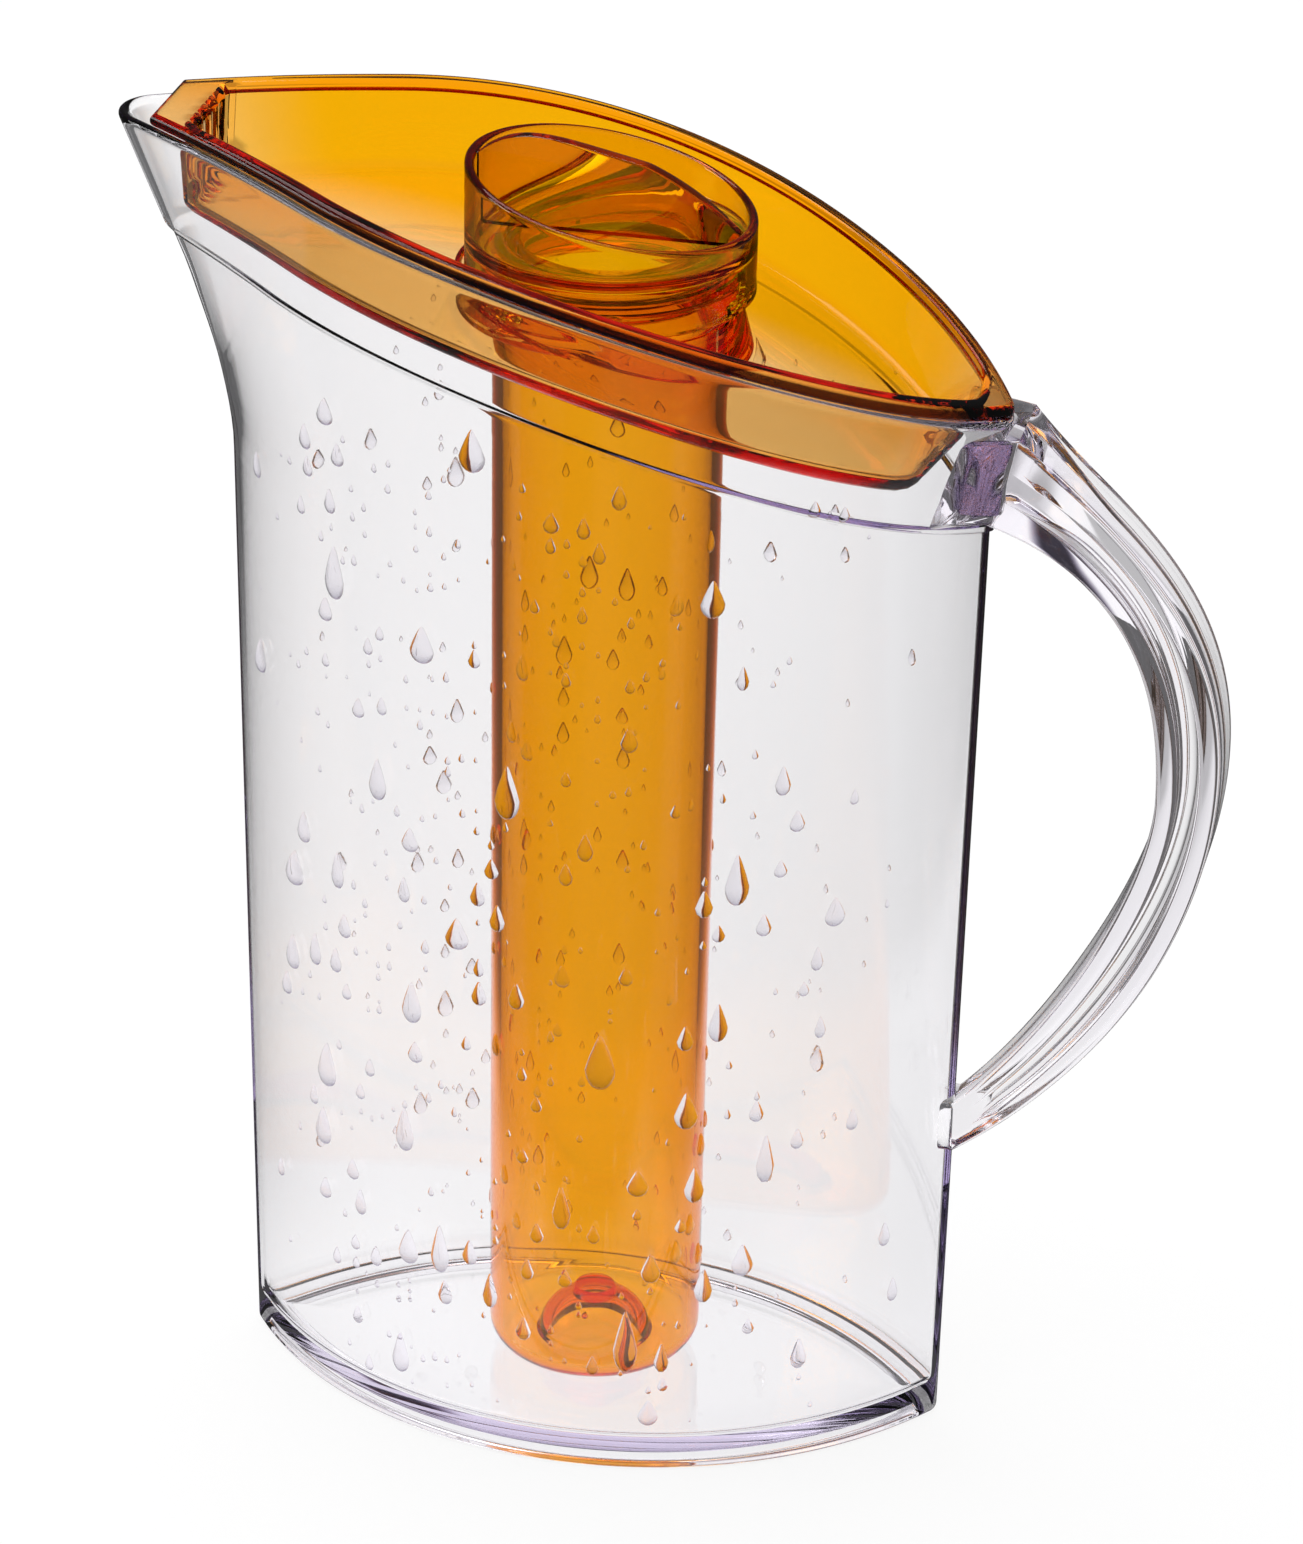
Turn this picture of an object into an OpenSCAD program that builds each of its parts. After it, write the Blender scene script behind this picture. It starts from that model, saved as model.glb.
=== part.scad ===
// Clear pitcher with an ice core: a lens-shaped jug with a bonded handle, a dished
// lid that follows the sloping rim, and a capped tube for ice that hangs in the lid.
// The origin is on the table under the tube's axis. +X points to the handle, the
// spout is at -X, and the jug is symmetric about the XZ plane.

/* [Jug] */
// Length of the base between its two corners, with no corner rounding
base_l = 157; // [140:0.5:176]
// Width of the base across the two bowed sides
base_w = 85.6; // [76:0.2:96]
// Length between the corners just under the upper band
waist_l = 162.4; // [150:0.2:180]
// Length between the corners at the rim, leaving out the spout
top_l = 174; // [164:0.5:190]
// Width across the bowed sides at the rim
top_w = 107; // [98:0.2:118]
// Height of the lid's top face over the tube's axis
rim_h = 275; // [255:1:300]
// Radius of the arc that the rim follows, seen from the side
rim_arc_r = 430; // [380:1:600]
// Slope of the rim over the tube's axis, in degrees
rim_tilt = 15.5; // [11:0.1:18]
// Thickness of the jug's side wall
wall = 2.7; // [2:0.1:3.4]
// Height of the inside floor above the table
floor_z = 6.8; // [5.5:0.1:9]
// Depth of the recess under the floor
foot_recess = 2.6; // [1.5:0.1:3.5]
// Width of the foot ring that the jug stands on
foot_w = 4.4; // [3:0.1:7]
// Radius of the jug's lower outside edge
foot_r = 1.8; // [0.8:0.1:2.6]
// Radius between the inside floor and the wall
floor_r = 3; // [1.5:0.1:5]
// Radius of the two upright corners
corner_r = 3.6; // [2.9:0.1:6]
// Radius of the corners at the rim
rim_corner_r = 7; // [4:0.1:9]
// Height of the thicker upper band, measured down from the rim
band_h = 23; // [21.5:0.5:28]
// How far the upper band stands out from the wall below it
band_step = 1; // [0.5:0.1:1.6]
// Height of the sloping step under the band
step_h = 1.4; // [0.8:0.1:2.5]

/* [Spout] */
// How far below the rim's height the walls start to flare
flare_low = 61; // [51:1:75]
// How far below the rim's height the flare of the two corners ends
flare_high = 23; // [13:1:31]
// How far below the rim's height the spout starts to lean out
spout_low = 43; // [33:1:49]
// How far below the rim's height the spout turns straight
spout_high = 17; // [5:1:23]
// How far the spout leans out for each unit of height
spout_lean = 0.42; // [0.3:0.01:0.6]
// Plan radius of the spout's tip at the rim
spout_r = 9; // [7.5:0.1:12]

/* [Handle] */
// Width of the handle's two flanges
handle_w = 17; // [14:0.5:22]
// Width of the web between the flanges
handle_web_w = 6; // [4:0.5:8]
// Width of the handle where its upper end meets the jug
handle_root_w = 27; // [23:0.5:32]
// Width of the handle's foot
handle_foot_w = 10; // [8:0.5:13]
// Reach of the handle's outer face from the tube's axis
handle_x = 132.4; // [124:0.2:142]
// Reach of the handle's inner face from the tube's axis
handle_in_x = 119.2; // [110:0.2:120]
// Height at which the handle reaches out furthest, as a share of the way up it
handle_mid_share = 0.575; // [0.5:0.005:0.65]
// How far the handle's upper end lies below the rim's height
handle_top_drop = 37; // [36:0.2:40]
// How far below the rim's height the handle's inner face meets the jug, at the top
handle_root_drop = 55.5; // [53:0.5:67]
// Height of the lowest point of the handle's foot
handle_foot_z = 68.5; // [60:0.5:72]
// Height at which the handle's inner face meets the jug, at the bottom
handle_crotch_z = 80.5; // [78:0.5:94]
// Film of bonding solvent between the handle and the jug
bond = 0.1; // [0.05:0.01:0.2]

/* [Lid] */
// Thickness of the lid's flange
flange_t = 2.9; // [2.2:0.1:3.2]
// How far the flange stops short of the jug's outer edge
flange_inset = 0.7; // [0.4:0.1:1.2]
// How far the flange's straight end reaches past half the rim's length, at the spout
flange_end_out = 7.4; // [5:0.2:10]
// Distance from the flange's straight end back to the basin's fluted end wall
basin_end_in = 7.4; // [6:0.2:10]
// Depth of the basin floor below the flange's top
basin_d = 18.6; // [16:0.1:18.8]
// Thickness of the basin's wall and floor
lid_wall = 2; // [1.5:0.1:2.4]
// Clearance between the basin's wall and the jug
lid_gap = 0.5; // [0.4:0.05:0.9]
// Clearance under the flange
lid_seat = 0.1; // [0.05:0.01:0.3]
// Number of upright flutes in the basin's end wall
flute_n = 5; // [3:1:7]
// Clearance round the cap in the lid's pocket
pocket_gap = 0.6; // [0.5:0.05:1]

/* [Core tube] */
// Outer radius of the tube at its top
tube_r = 24.05; // [22:0.05:24.1]
// How much smaller the tube's outer radius is at its lower end
tube_draft = 0.95; // [0.4:0.05:1.4]
// Wall of the tube
tube_wall = 2.2; // [1.6:0.1:2.6]
// Height of the tube's lowest point above the table
tube_z = 8.6; // [7.6:0.1:14]
// Radius of the tube's lower outside edge
tube_edge_r = 6; // [4:0.2:8]
// Radius of the boss inside the tube's floor, at its foot
boss_r = 12.2; // [9:0.2:14]
// Radius of the boss at its top
boss_top_r = 4.6; // [3:0.1:6]
// Height of the boss above the tube's floor
boss_h = 11; // [7:0.5:14]
// Height of the lug flange that hangs on the neck
lug_t = 2.2; // [1.8:0.1:2.3]
// How far the three lugs stand out from the flange
lug_out = 1.2; // [0.8:0.1:1.3]
// Length of one lug, in degrees
lug_arc = 26; // [18:1:26]

/* [Neck and cap] */
// Clearance between the tube and the neck's bore
neck_gap = 0.35; // [0.3:0.05:0.6]
// Wall of the neck
neck_wall = 2; // [1.6:0.1:2.4]
// How far the neck's top edge lies below the rim's height
neck_drop = 13; // [12:0.2:15]
// Outer radius of the cap
cap_r = 30; // [29.6:0.1:30.6]
// Wall of the cap
cap_wall = 2; // [1.6:0.1:2.1]
// How far the cap's lower edge lies below the rim's height
cap_drop = 20.7; // [19:0.1:21]
// How far the cap's rim stands above the rim's height, over the tube's axis
cap_rise = 5; // [3:0.2:9]
// Slope of the cap's rim, in degrees
cap_tilt = 13.9; // [8:0.1:15.5]
// How far the well's floor lies below the rim's height
well_drop = 5; // [4:0.1:5.6]
// Thickness of the grip blade across the well
blade_t = 3; // [2:0.1:4]
// Radius of the blade's arched top edge
blade_arc_r = 58; // [54:0.5:70]
// How far the top of the blade's arch stands above the rim's height
blade_rise = 14.8; // [13.5:0.1:17]
// Distance of the arch's top from the tube's axis, towards the spout
blade_top_x = 14; // [10:0.5:16]
// Clearance between the cap's underside and the tube's mouth
cap_seat = 0.3; // [0.1:0.05:0.4]
// Clearance between the cap's plug and the tube
plug_gap = 0.4; // [0.3:0.05:0.6]
// Length of the plug below the well's floor plate
plug_h = 9.5; // [8:0.1:10.5]
// Thickness of the plug's wall
plug_wall = 2.6; // [2.3:0.1:3.2]
// Height that the cap climbs in one full turn
thread_lead = 15; // [15:0.1:18]
// Thickness of the cap's three thread ribs
rib_t = 1.2; // [1:0.1:1.3]
// Length of one thread rib, in degrees
rib_arc = 70; // [40:1:80]
// Clearance between a lug and the thread rib below it
rib_gap = 0.25; // [0.15:0.05:0.3]
// Radius of the round section of the seal ring
seal_r = 0.85; // [0.7:0.05:0.95]

/* [Hidden] */
$fn = 96;

clear_plastic = "whitesmoke";
orange_plastic = "orange";
silicone = "tan";

// Heights that follow from the rim's height
flare_z0 = rim_h - flare_low;
flare_z1 = rim_h - flare_high;
spout_z0 = rim_h - spout_low;
spout_z1 = rim_h - spout_high;
handle_top_z = rim_h - handle_top_drop;
handle_root_z = rim_h - handle_root_drop;
handle_mid_z = handle_foot_z + handle_mid_share * (handle_top_z - handle_foot_z);
neck_z = rim_h - neck_drop;
cap_z = rim_h - cap_drop;
cap_rim_z = rim_h + cap_rise;
well_z = rim_h - well_drop;
blade_z = rim_h + blade_rise;

// One overrun for every cut that passes right through
over = 1;
// Least running gap between two curved faces
run_gap = 0.3;

// The rim's arc lies round a line along Y
rim_cx = -rim_arc_r * sin(rim_tilt);
rim_cz = rim_h - rim_arc_r * cos(rim_tilt);
function rim_z(x, drop) = rim_cz + sqrt(pow(rim_arc_r - drop, 2) - pow(x - rim_cx, 2));

// Blend from 0 to 1, and a ramp that starts smoothly and goes on straight
function ease(t) = let (c = max(0, min(1, t))) c * c * (3 - 2 * c);
function ramp(z, z0, z1) =
    z <= z0 ? 0 : z < z1 ? pow(z - z0, 2) / (2 * (z1 - z0)) : (z1 - z0) / 2 + z - z1;

// Plan of the jug at a height: two bowed sides, a rounded corner at the handle and,
// higher up, two straight spout walls that touch the bowed sides
function half_w(z) = (base_w + (top_w - base_w) * z / rim_h) / 2;
function half_l(z) =
    (base_l + (waist_l - base_l) * min(z, flare_z0) / flare_z0
     + (top_l - waist_l) * ease((z - flare_z0) / (flare_z1 - flare_z0))) / 2;
function corner(z) =
    corner_r + (rim_corner_r - corner_r) * ease((z - flare_z0) / (flare_z1 - flare_z0));
function lean(z) = spout_lean * ramp(z, spout_z0, spout_z1);
function tip_r(z) = corner(z) + (spout_r - rim_corner_r) * ease((z - spout_z0) / (rim_h - spout_z0));

function side_r(z) = (pow(half_l(z), 2) + pow(half_w(z), 2)) / (2 * half_w(z));
function side_c(z) = side_r(z) - half_w(z);

// Corner circles keep at least this radius when a wall is set in from them
least_r = 0.8;
// Apex of the spout walls for a tip that is rounded with radius r
function wall_angle(p, c, r) = asin(min(1, r / sqrt(p * p + c * c))) - atan(c / p);
function apex(p, tip, r, c, side, n) =
    n == 0 ? p
    : apex(max(tip + r * (1 / sin(wall_angle(p, c, side)) - 1), sqrt(side * side - c * c)),
           tip, r, c, side, n - 1);

// Points round the plan, from the handle's corner to the spout
corner_n = 4;
side_n = 15;
line_n = 3;
tip_n = 5;
half_n = corner_n + side_n + line_n + tip_n;
ring_n = 2 * half_n;

// Point j of the plan at height z, set in by d
function plan_point(j, z, d) =
    let (
        k = j <= half_n ? j : ring_n - j,
        c = side_c(z),
        side = side_r(z) - d,
        cr = max(corner(z) - d, least_r),
        cx = sqrt(pow(side - cr, 2) - c * c),
        a0 = atan2(c, cx),
        tr = max(tip_r(z) - d, least_r),
        plain = sqrt(pow(side - tr, 2) - c * c) + tr,
        tip = plain + lean(z),
        p = apex(tip + tr, tip, tr, c, side, 6),
        g = wall_angle(p, c, side),
        tx = -p + tr / sin(g),
        s = [-side * sin(g), side * cos(g) - c],
        e = [tx - tr * sin(g), tr * cos(g)],
        q = k < corner_n
            ? [cx + cr * cos(a0 * k / corner_n), cr * sin(a0 * k / corner_n)]
            : k < corner_n + side_n
            ? let (t = a0 + (90 + g - a0) * (k - corner_n) / side_n) [side * cos(t), side * sin(t) - c]
            : k < corner_n + side_n + line_n
            ? s + (e - s) * (k - corner_n - side_n) / line_n
            : let (t = 90 + g + (90 - g) * (k - half_n + tip_n) / tip_n) [tx + tr * cos(t), tr * sin(t)]
    )
    j <= half_n ? q : [q[0], -q[1]];

// The same point on a ring that runs level low down and along the rim higher up.
// u goes from 0 at the table to 1 where the rings start to tilt, 2 at the band's
// step and 3 at the rim.
tilt_share = 0.545;
tilt_z = tilt_share * rim_h;
rim_drop = flange_t + lid_seat;
function ring_z(u, x) =
    let (step_z = rim_z(x, rim_drop + band_h))
    u <= 1 ? u * tilt_z
    : u <= 2 ? tilt_z + (u - 1) * (step_z - tilt_z)
    : step_z + (u - 2) * (rim_z(x, rim_drop) - step_z);
function ring_point(j, u, d, z, n) =
    let (q = plan_point(j, z, d))
    n == 0 ? [q[0], q[1], z] : ring_point(j, u, d, ring_z(u, q[0]), n - 1);
function ring(u, d) = [for (j = [0:ring_n - 1]) ring_point(j, u, d, ring_z(u, 0), u <= 1 ? 0 : 6)];
function flat_ring(z, d) = [for (j = [0:ring_n - 1]) let (q = plan_point(j, z, d)) [q[0], q[1], z]];

// Solid between a list of rings, closed by its first and last ring
module loft(rings) {
    m = len(rings);
    n = len(rings[0]);
    sides = [for (i = [0:m - 2]) for (j = [0:n - 1])
        let (a = i * n + j, b = i * n + (j + 1) % n)
        each [[a, a + n, b], [b, a + n, b + n]]];
    polyhedron(
        [for (r = rings) each r],
        concat([[for (j = [0:n - 1]) j]], sides, [[for (j = [n - 1:-1:0]) (m - 1) * n + j]]),
        convexity = 8);
}

// Heights of the rings in the flared part, as steps of u
flare_share = [1, 1.25, 1.4, 1.52, 1.64, 1.76, 1.88];
// Share of the part from the tilting rings to the band that the sloping step takes
step_share = step_h / (rim_z(0, rim_drop + band_h) - tilt_z);
band_shares = [0, 0.35, 0.68, 1];
foot_shares = [0, 0.3, 1];

// Half the circle that rounds an edge: how far in and how far up at a share of it
function round_in(r, t) = r * (1 - sin(90 * t));
function round_up(r, t) = r * (1 - cos(90 * t));

module body_shell() {
    outer = concat(
        [for (t = foot_shares) flat_ring(round_up(foot_r, t), round_in(foot_r, t))],
        [for (u = flare_share) ring(u, 0)],
        [ring(2 - step_share, 0)],
        [for (t = band_shares) ring(2 + t, -band_step)]);
    inner = concat(
        [for (i = [len(band_shares) - 1:-1:0]) ring(2 + band_shares[i], wall - band_step)],
        [ring(2 - step_share, wall)],
        [for (i = [len(flare_share) - 1:-1:0]) ring(flare_share[i], wall)],
        [for (i = [len(foot_shares) - 1:-1:0])
            flat_ring(floor_z + round_up(floor_r, foot_shares[i]),
                      wall + round_in(floor_r, foot_shares[i]))]);
    color(clear_plastic, 0.4)
        loft(concat(
            [flat_ring(foot_recess, foot_r + foot_w + foot_recess / 2)],
            [flat_ring(0, foot_r + foot_w)],
            outer, inner));
}

// Handle seen from the side: two curves, each of two arcs that meet upright
function bez(a, b, c, d, t) =
    pow(1 - t, 3) * a + 3 * pow(1 - t, 2) * t * b + 3 * (1 - t) * t * t * c + pow(t, 3) * d;
handle_top_x = half_l(flare_z1) + flange_inset;
handle_root_x = half_l(handle_root_z);
handle_foot_x = half_l(handle_foot_z);
// Shares that place the curves' control points between their ends
out_top_share = [0.44, 0.27];
out_bend_share = 0.52;
out_low_share = [0.55, 0.21];
out_drop_share = 0.39;
in_top_share = [0.64, 0.19];
in_bend_share = 0.57;
in_low_share = [0.56, 0.29];
in_drop_share = 0.23;
function handle_out(t) =
    let (
        top = [handle_top_x, handle_top_z],
        mid = [handle_x, handle_mid_z],
        low = [handle_foot_x, handle_foot_z]
    )
    t < 1
    ? bez(top, [top[0] + (mid[0] - top[0]) * out_top_share[0], top[1] - (top[1] - mid[1]) * out_top_share[1]],
          [mid[0], mid[1] + (top[1] - mid[1]) * out_bend_share], mid, t)
    : bez(mid, [mid[0], mid[1] - (mid[1] - low[1]) * out_drop_share],
          [low[0] + (mid[0] - low[0]) * out_low_share[0], low[1] + (mid[1] - low[1]) * out_low_share[1]],
          low, t - 1);
function handle_in(t) =
    let (
        top = [handle_root_x, handle_root_z],
        mid = [handle_in_x, handle_mid_z - (handle_x - handle_in_x) / 2],
        low = [handle_foot_x, handle_crotch_z]
    )
    t < 1
    ? bez(top, [top[0] + (mid[0] - top[0]) * in_top_share[0], top[1] - (top[1] - mid[1]) * in_top_share[1]],
          [mid[0], mid[1] + (top[1] - mid[1]) * in_bend_share], mid, t)
    : bez(mid, [mid[0], mid[1] - (mid[1] - low[1]) * in_drop_share],
          [low[0] + (mid[0] - low[0]) * in_low_share[0], low[1] + (mid[1] - low[1]) * in_low_share[1]],
          low, t - 1);
function handle_at(t, share) = handle_out(t) + share * (handle_in(t) - handle_out(t));

// Share of the handle's depth that each flange takes
flange_share = 0.34;
// Share of a flange that the web runs into
lap_share = 0.2;
curve_n = 28;
// How far the handle's ends run inwards before the jug's shape is cut out of them
handle_lap = handle_root_w / 2;
// Shares of the upper and lower curve at which the groove beside the web starts and ends
groove_start_share = 0.3;
groove_end_share = 0.93;

module handle_strip(share0, share1, w, t0, t1) {
    a = [for (i = [0:curve_n]) handle_at(t0 + (t1 - t0) * i / curve_n, share0)];
    b = [for (i = [curve_n:-1:0]) handle_at(t0 + (t1 - t0) * i / curve_n, share1)];
    translate([0, w / 2, 0])
        rotate([90, 0, 0])
            linear_extrude(w)
                polygon(concat(a, b));
}

// Ends of the handle, which wrap the jug's corner
module handle_end(top, low) {
    translate([0, handle_root_w / 2, 0])
        rotate([90, 0, 0])
            linear_extrude(handle_root_w)
                polygon([top, [top[0] - handle_lap, top[1]], [low[0] - handle_lap, low[1]], low]);
}

// Outline that trims the handle: seen from the front it narrows towards the foot, and
// seen from above it widens towards the jug at its upper end
root_flare = 2 * handle_web_w + handle_w;
root_n = 8;
module handle_outline() {
    w = handle_w / 2;
    foot = handle_foot_w / 2;
    low_z = handle_foot_z - handle_lap;
    bend_z = (handle_crotch_z + handle_mid_z) / 2;
    front = [[foot, low_z], [foot, handle_crotch_z], [w, bend_z], [w, handle_mid_z]];
    rotate([90, 0, 90])
        linear_extrude(2 * handle_x)
            polygon(concat(front, [for (i = [len(front) - 1:-1:0]) [-front[i][0], front[i][1]]]));
    end_x = handle_top_x - handle_lap;
    flare = [for (i = [0:root_n]) let (t = i / root_n)
        [end_x + (handle_lap + root_flare / 2) * (1 - t), w + (handle_root_w / 2 - w) * t * t]];
    top = concat([[2 * handle_x, w]], flare);
    translate([0, 0, handle_mid_z])
        linear_extrude(handle_top_z)
            polygon(concat(top, [for (i = [len(top) - 1:-1:0]) [top[i][0], -top[i][1]]]));
}

// Room that the jug's corner and the lid's flange take out of the handle: the part
// of each ring that lies round the handle's corner
near_n = corner_n + 5;
function near_ring(u, d) =
    [for (i = [-near_n:near_n]) ring_point((i + ring_n) % ring_n, u, d, ring_z(u, 0), u <= 1 ? 0 : 6)];
module corner_room() {
    low = [for (u = concat([0.3], flare_share, [2 - step_share])) near_ring(u, -bond)];
    band = [for (t = band_shares) near_ring(2 + t, -band_step - bond)];
    top = [for (q = band[len(band) - 1]) q + [0, 0, handle_lap]];
    loft(concat(low, band, [top]));
}

module handle() {
    color(clear_plastic, 0.5)
        difference() {
            intersection() {
                union() {
                    handle_strip(0, flange_share, handle_root_w, 0, 2);
                    handle_strip(1 - flange_share, 1, handle_root_w, 0, 2);
                    handle_strip(flange_share * (1 - lap_share), 1 - flange_share * (1 - lap_share),
                                 handle_web_w, 0, 2);
                    handle_strip(0, 1, handle_root_w, 0, groove_start_share);
                    handle_strip(0, 1, handle_foot_w, 1 + groove_end_share, 2);
                    handle_end(handle_out(0), handle_in(0));
                    handle_end(handle_in(2), handle_out(2));
                }
                handle_outline();
            }
            corner_room();
        }
}

// Solid under the arc of the rim, lowered by a drop
module under_arc(drop) {
    translate([rim_cx, 0, rim_cz])
        rotate([90, 0, 0])
            cylinder(h = 2 * top_w, r = rim_arc_r - drop, center = true, $fn = 360);
}

// Upright prism on the plan at the rim or at the basin's lower edge
lid_low = rim_h - rim_arc_r * sin(rim_tilt);
module rim_prism(d, end_x) {
    translate([0, 0, lid_low])
        linear_extrude(rim_h)
            intersection() {
                polygon([for (q = ring(3, d)) [q[0], q[1]]]);
                translate([-end_x, -top_w])
                    square([2 * top_l, 2 * top_w]);
            }
}
basin_u = 3 - (basin_d + lid_wall) / band_h;
module basin_prism(d, end_x) {
    translate([0, 0, lid_low])
        linear_extrude(rim_h)
            intersection() {
                polygon([for (q = ring(basin_u, d)) [q[0], q[1]]]);
                translate([-end_x, -top_w])
                    square([2 * top_l, 2 * top_w]);
            }
}

basin_out = wall - band_step + lid_gap;
basin_in = basin_out + lid_wall;
neck_r = tube_r + neck_gap;
neck_out_r = neck_r + neck_wall;
pocket_r = cap_r + pocket_gap;
pocket_z = cap_z - lid_wall;
neck_low_z = rim_z(neck_out_r, basin_d + lid_wall) - lid_wall;
flange_end_x = top_l / 2 + flange_end_out;
basin_end_x = flange_end_x - basin_end_in;
// Half the width of a ring at a distance x along it, on the spout's side
function width_at(r, x) =
    [for (i = [0:half_n - 1]) let (a = r[i], b = r[i + 1])
        if (a[1] > 0 && (a[0] - x) * (b[0] - x) <= 0)
            a[1] + (b[1] - a[1]) * (x - a[0]) / (b[0] - a[0])][0];
// Radius of a flute as a share of the flutes' pitch, over half so that they run together
flute_share = 0.56;
// Share of the basin's end wall that the flutes cover
flute_fill_share = 0.92;
flute_span = 2 * flute_fill_share * width_at(ring(basin_u, basin_in), lid_wall - basin_end_x);
flute_pitch = flute_span / (flute_n - 1 + 2 * flute_share);
flute_r = flute_share * flute_pitch;

module tube_ring(z, h, r, hole_r) {
    translate([0, 0, z])
        difference() {
            cylinder(h = h, r = r);
            translate([0, 0, -over])
                cylinder(h = h + 2 * over, r = hole_r);
        }
}

module flutes() {
    for (i = [0:flute_n - 1])
        translate([0, (i - (flute_n - 1) / 2) * flute_pitch, lid_low])
            cylinder(h = rim_h, r = flute_r, $fn = 32);
}

module lid() {
    color(orange_plastic, 0.6) {
        difference() {
            union() {
                difference() {
                    intersection() {
                        rim_prism(flange_inset - band_step, flange_end_x);
                        under_arc(0);
                    }
                    under_arc(flange_t);
                    basin_prism(basin_in, basin_end_x - lid_wall);
                }
                difference() {
                    intersection() {
                        union() {
                            basin_prism(basin_out, basin_end_x);
                            translate([-basin_end_x, 0, 0])
                                flutes();
                        }
                        under_arc(flange_t / 2);
                    }
                    under_arc(basin_d + lid_wall);
                    difference() {
                        union() {
                            basin_prism(basin_in, basin_end_x - lid_wall);
                            translate([lid_wall - basin_end_x, 0, 0])
                                flutes();
                        }
                        under_arc(basin_d);
                    }
                }
                intersection() {
                    translate([0, 0, pocket_z - lid_wall])
                        cylinder(h = rim_h - pocket_z, r = pocket_r + lid_wall);
                    under_arc(basin_d);
                }
                translate([0, 0, neck_low_z])
                    cylinder(h = neck_z - neck_low_z, r = neck_out_r);
            }
            difference() {
                translate([0, 0, pocket_z])
                    cylinder(h = rim_h - pocket_z, r = pocket_r);
                cylinder(h = neck_z, r = neck_out_r);
            }
            translate([0, 0, neck_low_z - over])
                cylinder(h = rim_h, r = neck_r);
        }
    }
}

// Ice tube
tube_top_z = well_z - cap_wall - cap_seat;
tube_low_r = tube_r - tube_draft;
tube_floor_z = tube_z + tube_wall;
flange_r = neck_out_r;
edge_n = 6;
tube_bore_r = tube_r - tube_wall;

module core_tube() {
    side_z = tube_z + tube_edge_r;
    in_r = tube_edge_r - tube_wall;
    color(orange_plastic, 0.6) {
        rotate_extrude()
            polygon(concat(
                [[0, tube_z]],
                [for (i = [0:edge_n]) let (t = 90 * i / edge_n)
                    [tube_low_r - tube_edge_r * (1 - sin(t)), side_z - tube_edge_r * cos(t)]],
                [[tube_r, neck_z + run_gap], [flange_r, neck_z + run_gap],
                 [flange_r, neck_z + run_gap + lug_t], [tube_r, neck_z + run_gap + lug_t],
                 [tube_r, tube_top_z], [tube_bore_r, tube_top_z]],
                [for (i = [edge_n:-1:0]) let (t = 90 * i / edge_n)
                    [tube_low_r - tube_wall - in_r * (1 - sin(t)), side_z - in_r * cos(t)]],
                [[boss_r, tube_floor_z], [boss_r, tube_floor_z + tube_wall],
                 [boss_top_r, tube_floor_z + boss_h], [0, tube_floor_z + boss_h]]));
        for (i = [0:2])
            rotate([0, 0, 120 * i])
                translate([0, 0, neck_z + run_gap])
                    rotate_extrude(angle = lug_arc)
                        translate([flange_r - lug_out, 0])
                            square([2 * lug_out, lug_t]);
    }
}

// Cap
cap_in_r = cap_r - cap_wall;
plate_z = well_z - cap_wall;
plug_r = tube_bore_r - plug_gap;
groove_z = plate_z - plug_h / 2;
seal_centre_r = tube_bore_r - lid_seat - seal_r;
groove_r = seal_centre_r - seal_r - lid_seat;
groove_h = 2 * (seal_r + lid_seat);
rib_in_r = neck_out_r + run_gap;
rib_low_z = neck_z + run_gap - rib_gap - rib_t + thread_lead * (rib_arc - lug_arc) / (2 * 360);
rib_n = 10;

// Helical rib inside the cap's skirt, below the tube's lugs
module thread_rib() {
    rise = thread_lead * rib_arc / 360;
    out_r = cap_in_r + run_gap;
    function corner_at(t, r, z) =
        [r * cos(rib_arc * t), r * sin(rib_arc * t), rib_low_z - rise * (1 - t) + z];
    loft([for (i = [0:rib_n]) let (t = i / rib_n)
        [corner_at(t, out_r, 0), corner_at(t, rib_in_r, 0), corner_at(t, rib_in_r, rib_t),
         corner_at(t, out_r, rib_t)]]);
}

module core_cap() {
    color(orange_plastic, 0.7) {
        difference() {
            union() {
                tube_ring(cap_z, rim_h - cap_z + cap_r, cap_r, cap_in_r);
                translate([0, 0, plate_z])
                    cylinder(h = cap_wall, r = cap_in_r + cap_wall / 2);
            }
            translate([0, 0, cap_rim_z])
                rotate([0, cap_tilt, 0])
                    translate([-2 * cap_r, -2 * cap_r, 0])
                        cube([4 * cap_r, 4 * cap_r, 2 * cap_r]);
        }
        intersection() {
            translate([-cap_in_r - cap_wall / 2, -blade_t / 2, well_z - cap_wall / 2])
                cube([2 * cap_in_r + cap_wall, blade_t, rim_h]);
            translate([-blade_top_x, 0, blade_z - blade_arc_r])
                rotate([90, 0, 0])
                    cylinder(h = cap_r, r = blade_arc_r, center = true);
            cylinder(h = 2 * rim_h, r = cap_in_r + cap_wall / 2);
        }
        difference() {
            tube_ring(plate_z - plug_h, plug_h + cap_wall / 2, plug_r, plug_r - plug_wall);
            tube_ring(groove_z - groove_h / 2, groove_h, plug_r + over, groove_r);
        }
        for (i = [0:2])
            rotate([0, 0, 120 * i + lug_arc / 2 - rib_arc / 2])
                thread_rib();
    }
}

module cap_seal() {
    color(silicone)
        translate([0, 0, groove_z])
            rotate_extrude()
                translate([seal_centre_r, 0])
                    circle(r = seal_r, $fn = 24);
}

body_shell();
handle();
lid();
core_tube();
core_cap();
cap_seal();
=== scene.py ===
import math
import random

import bpy
from mathutils import Matrix, Vector


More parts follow.
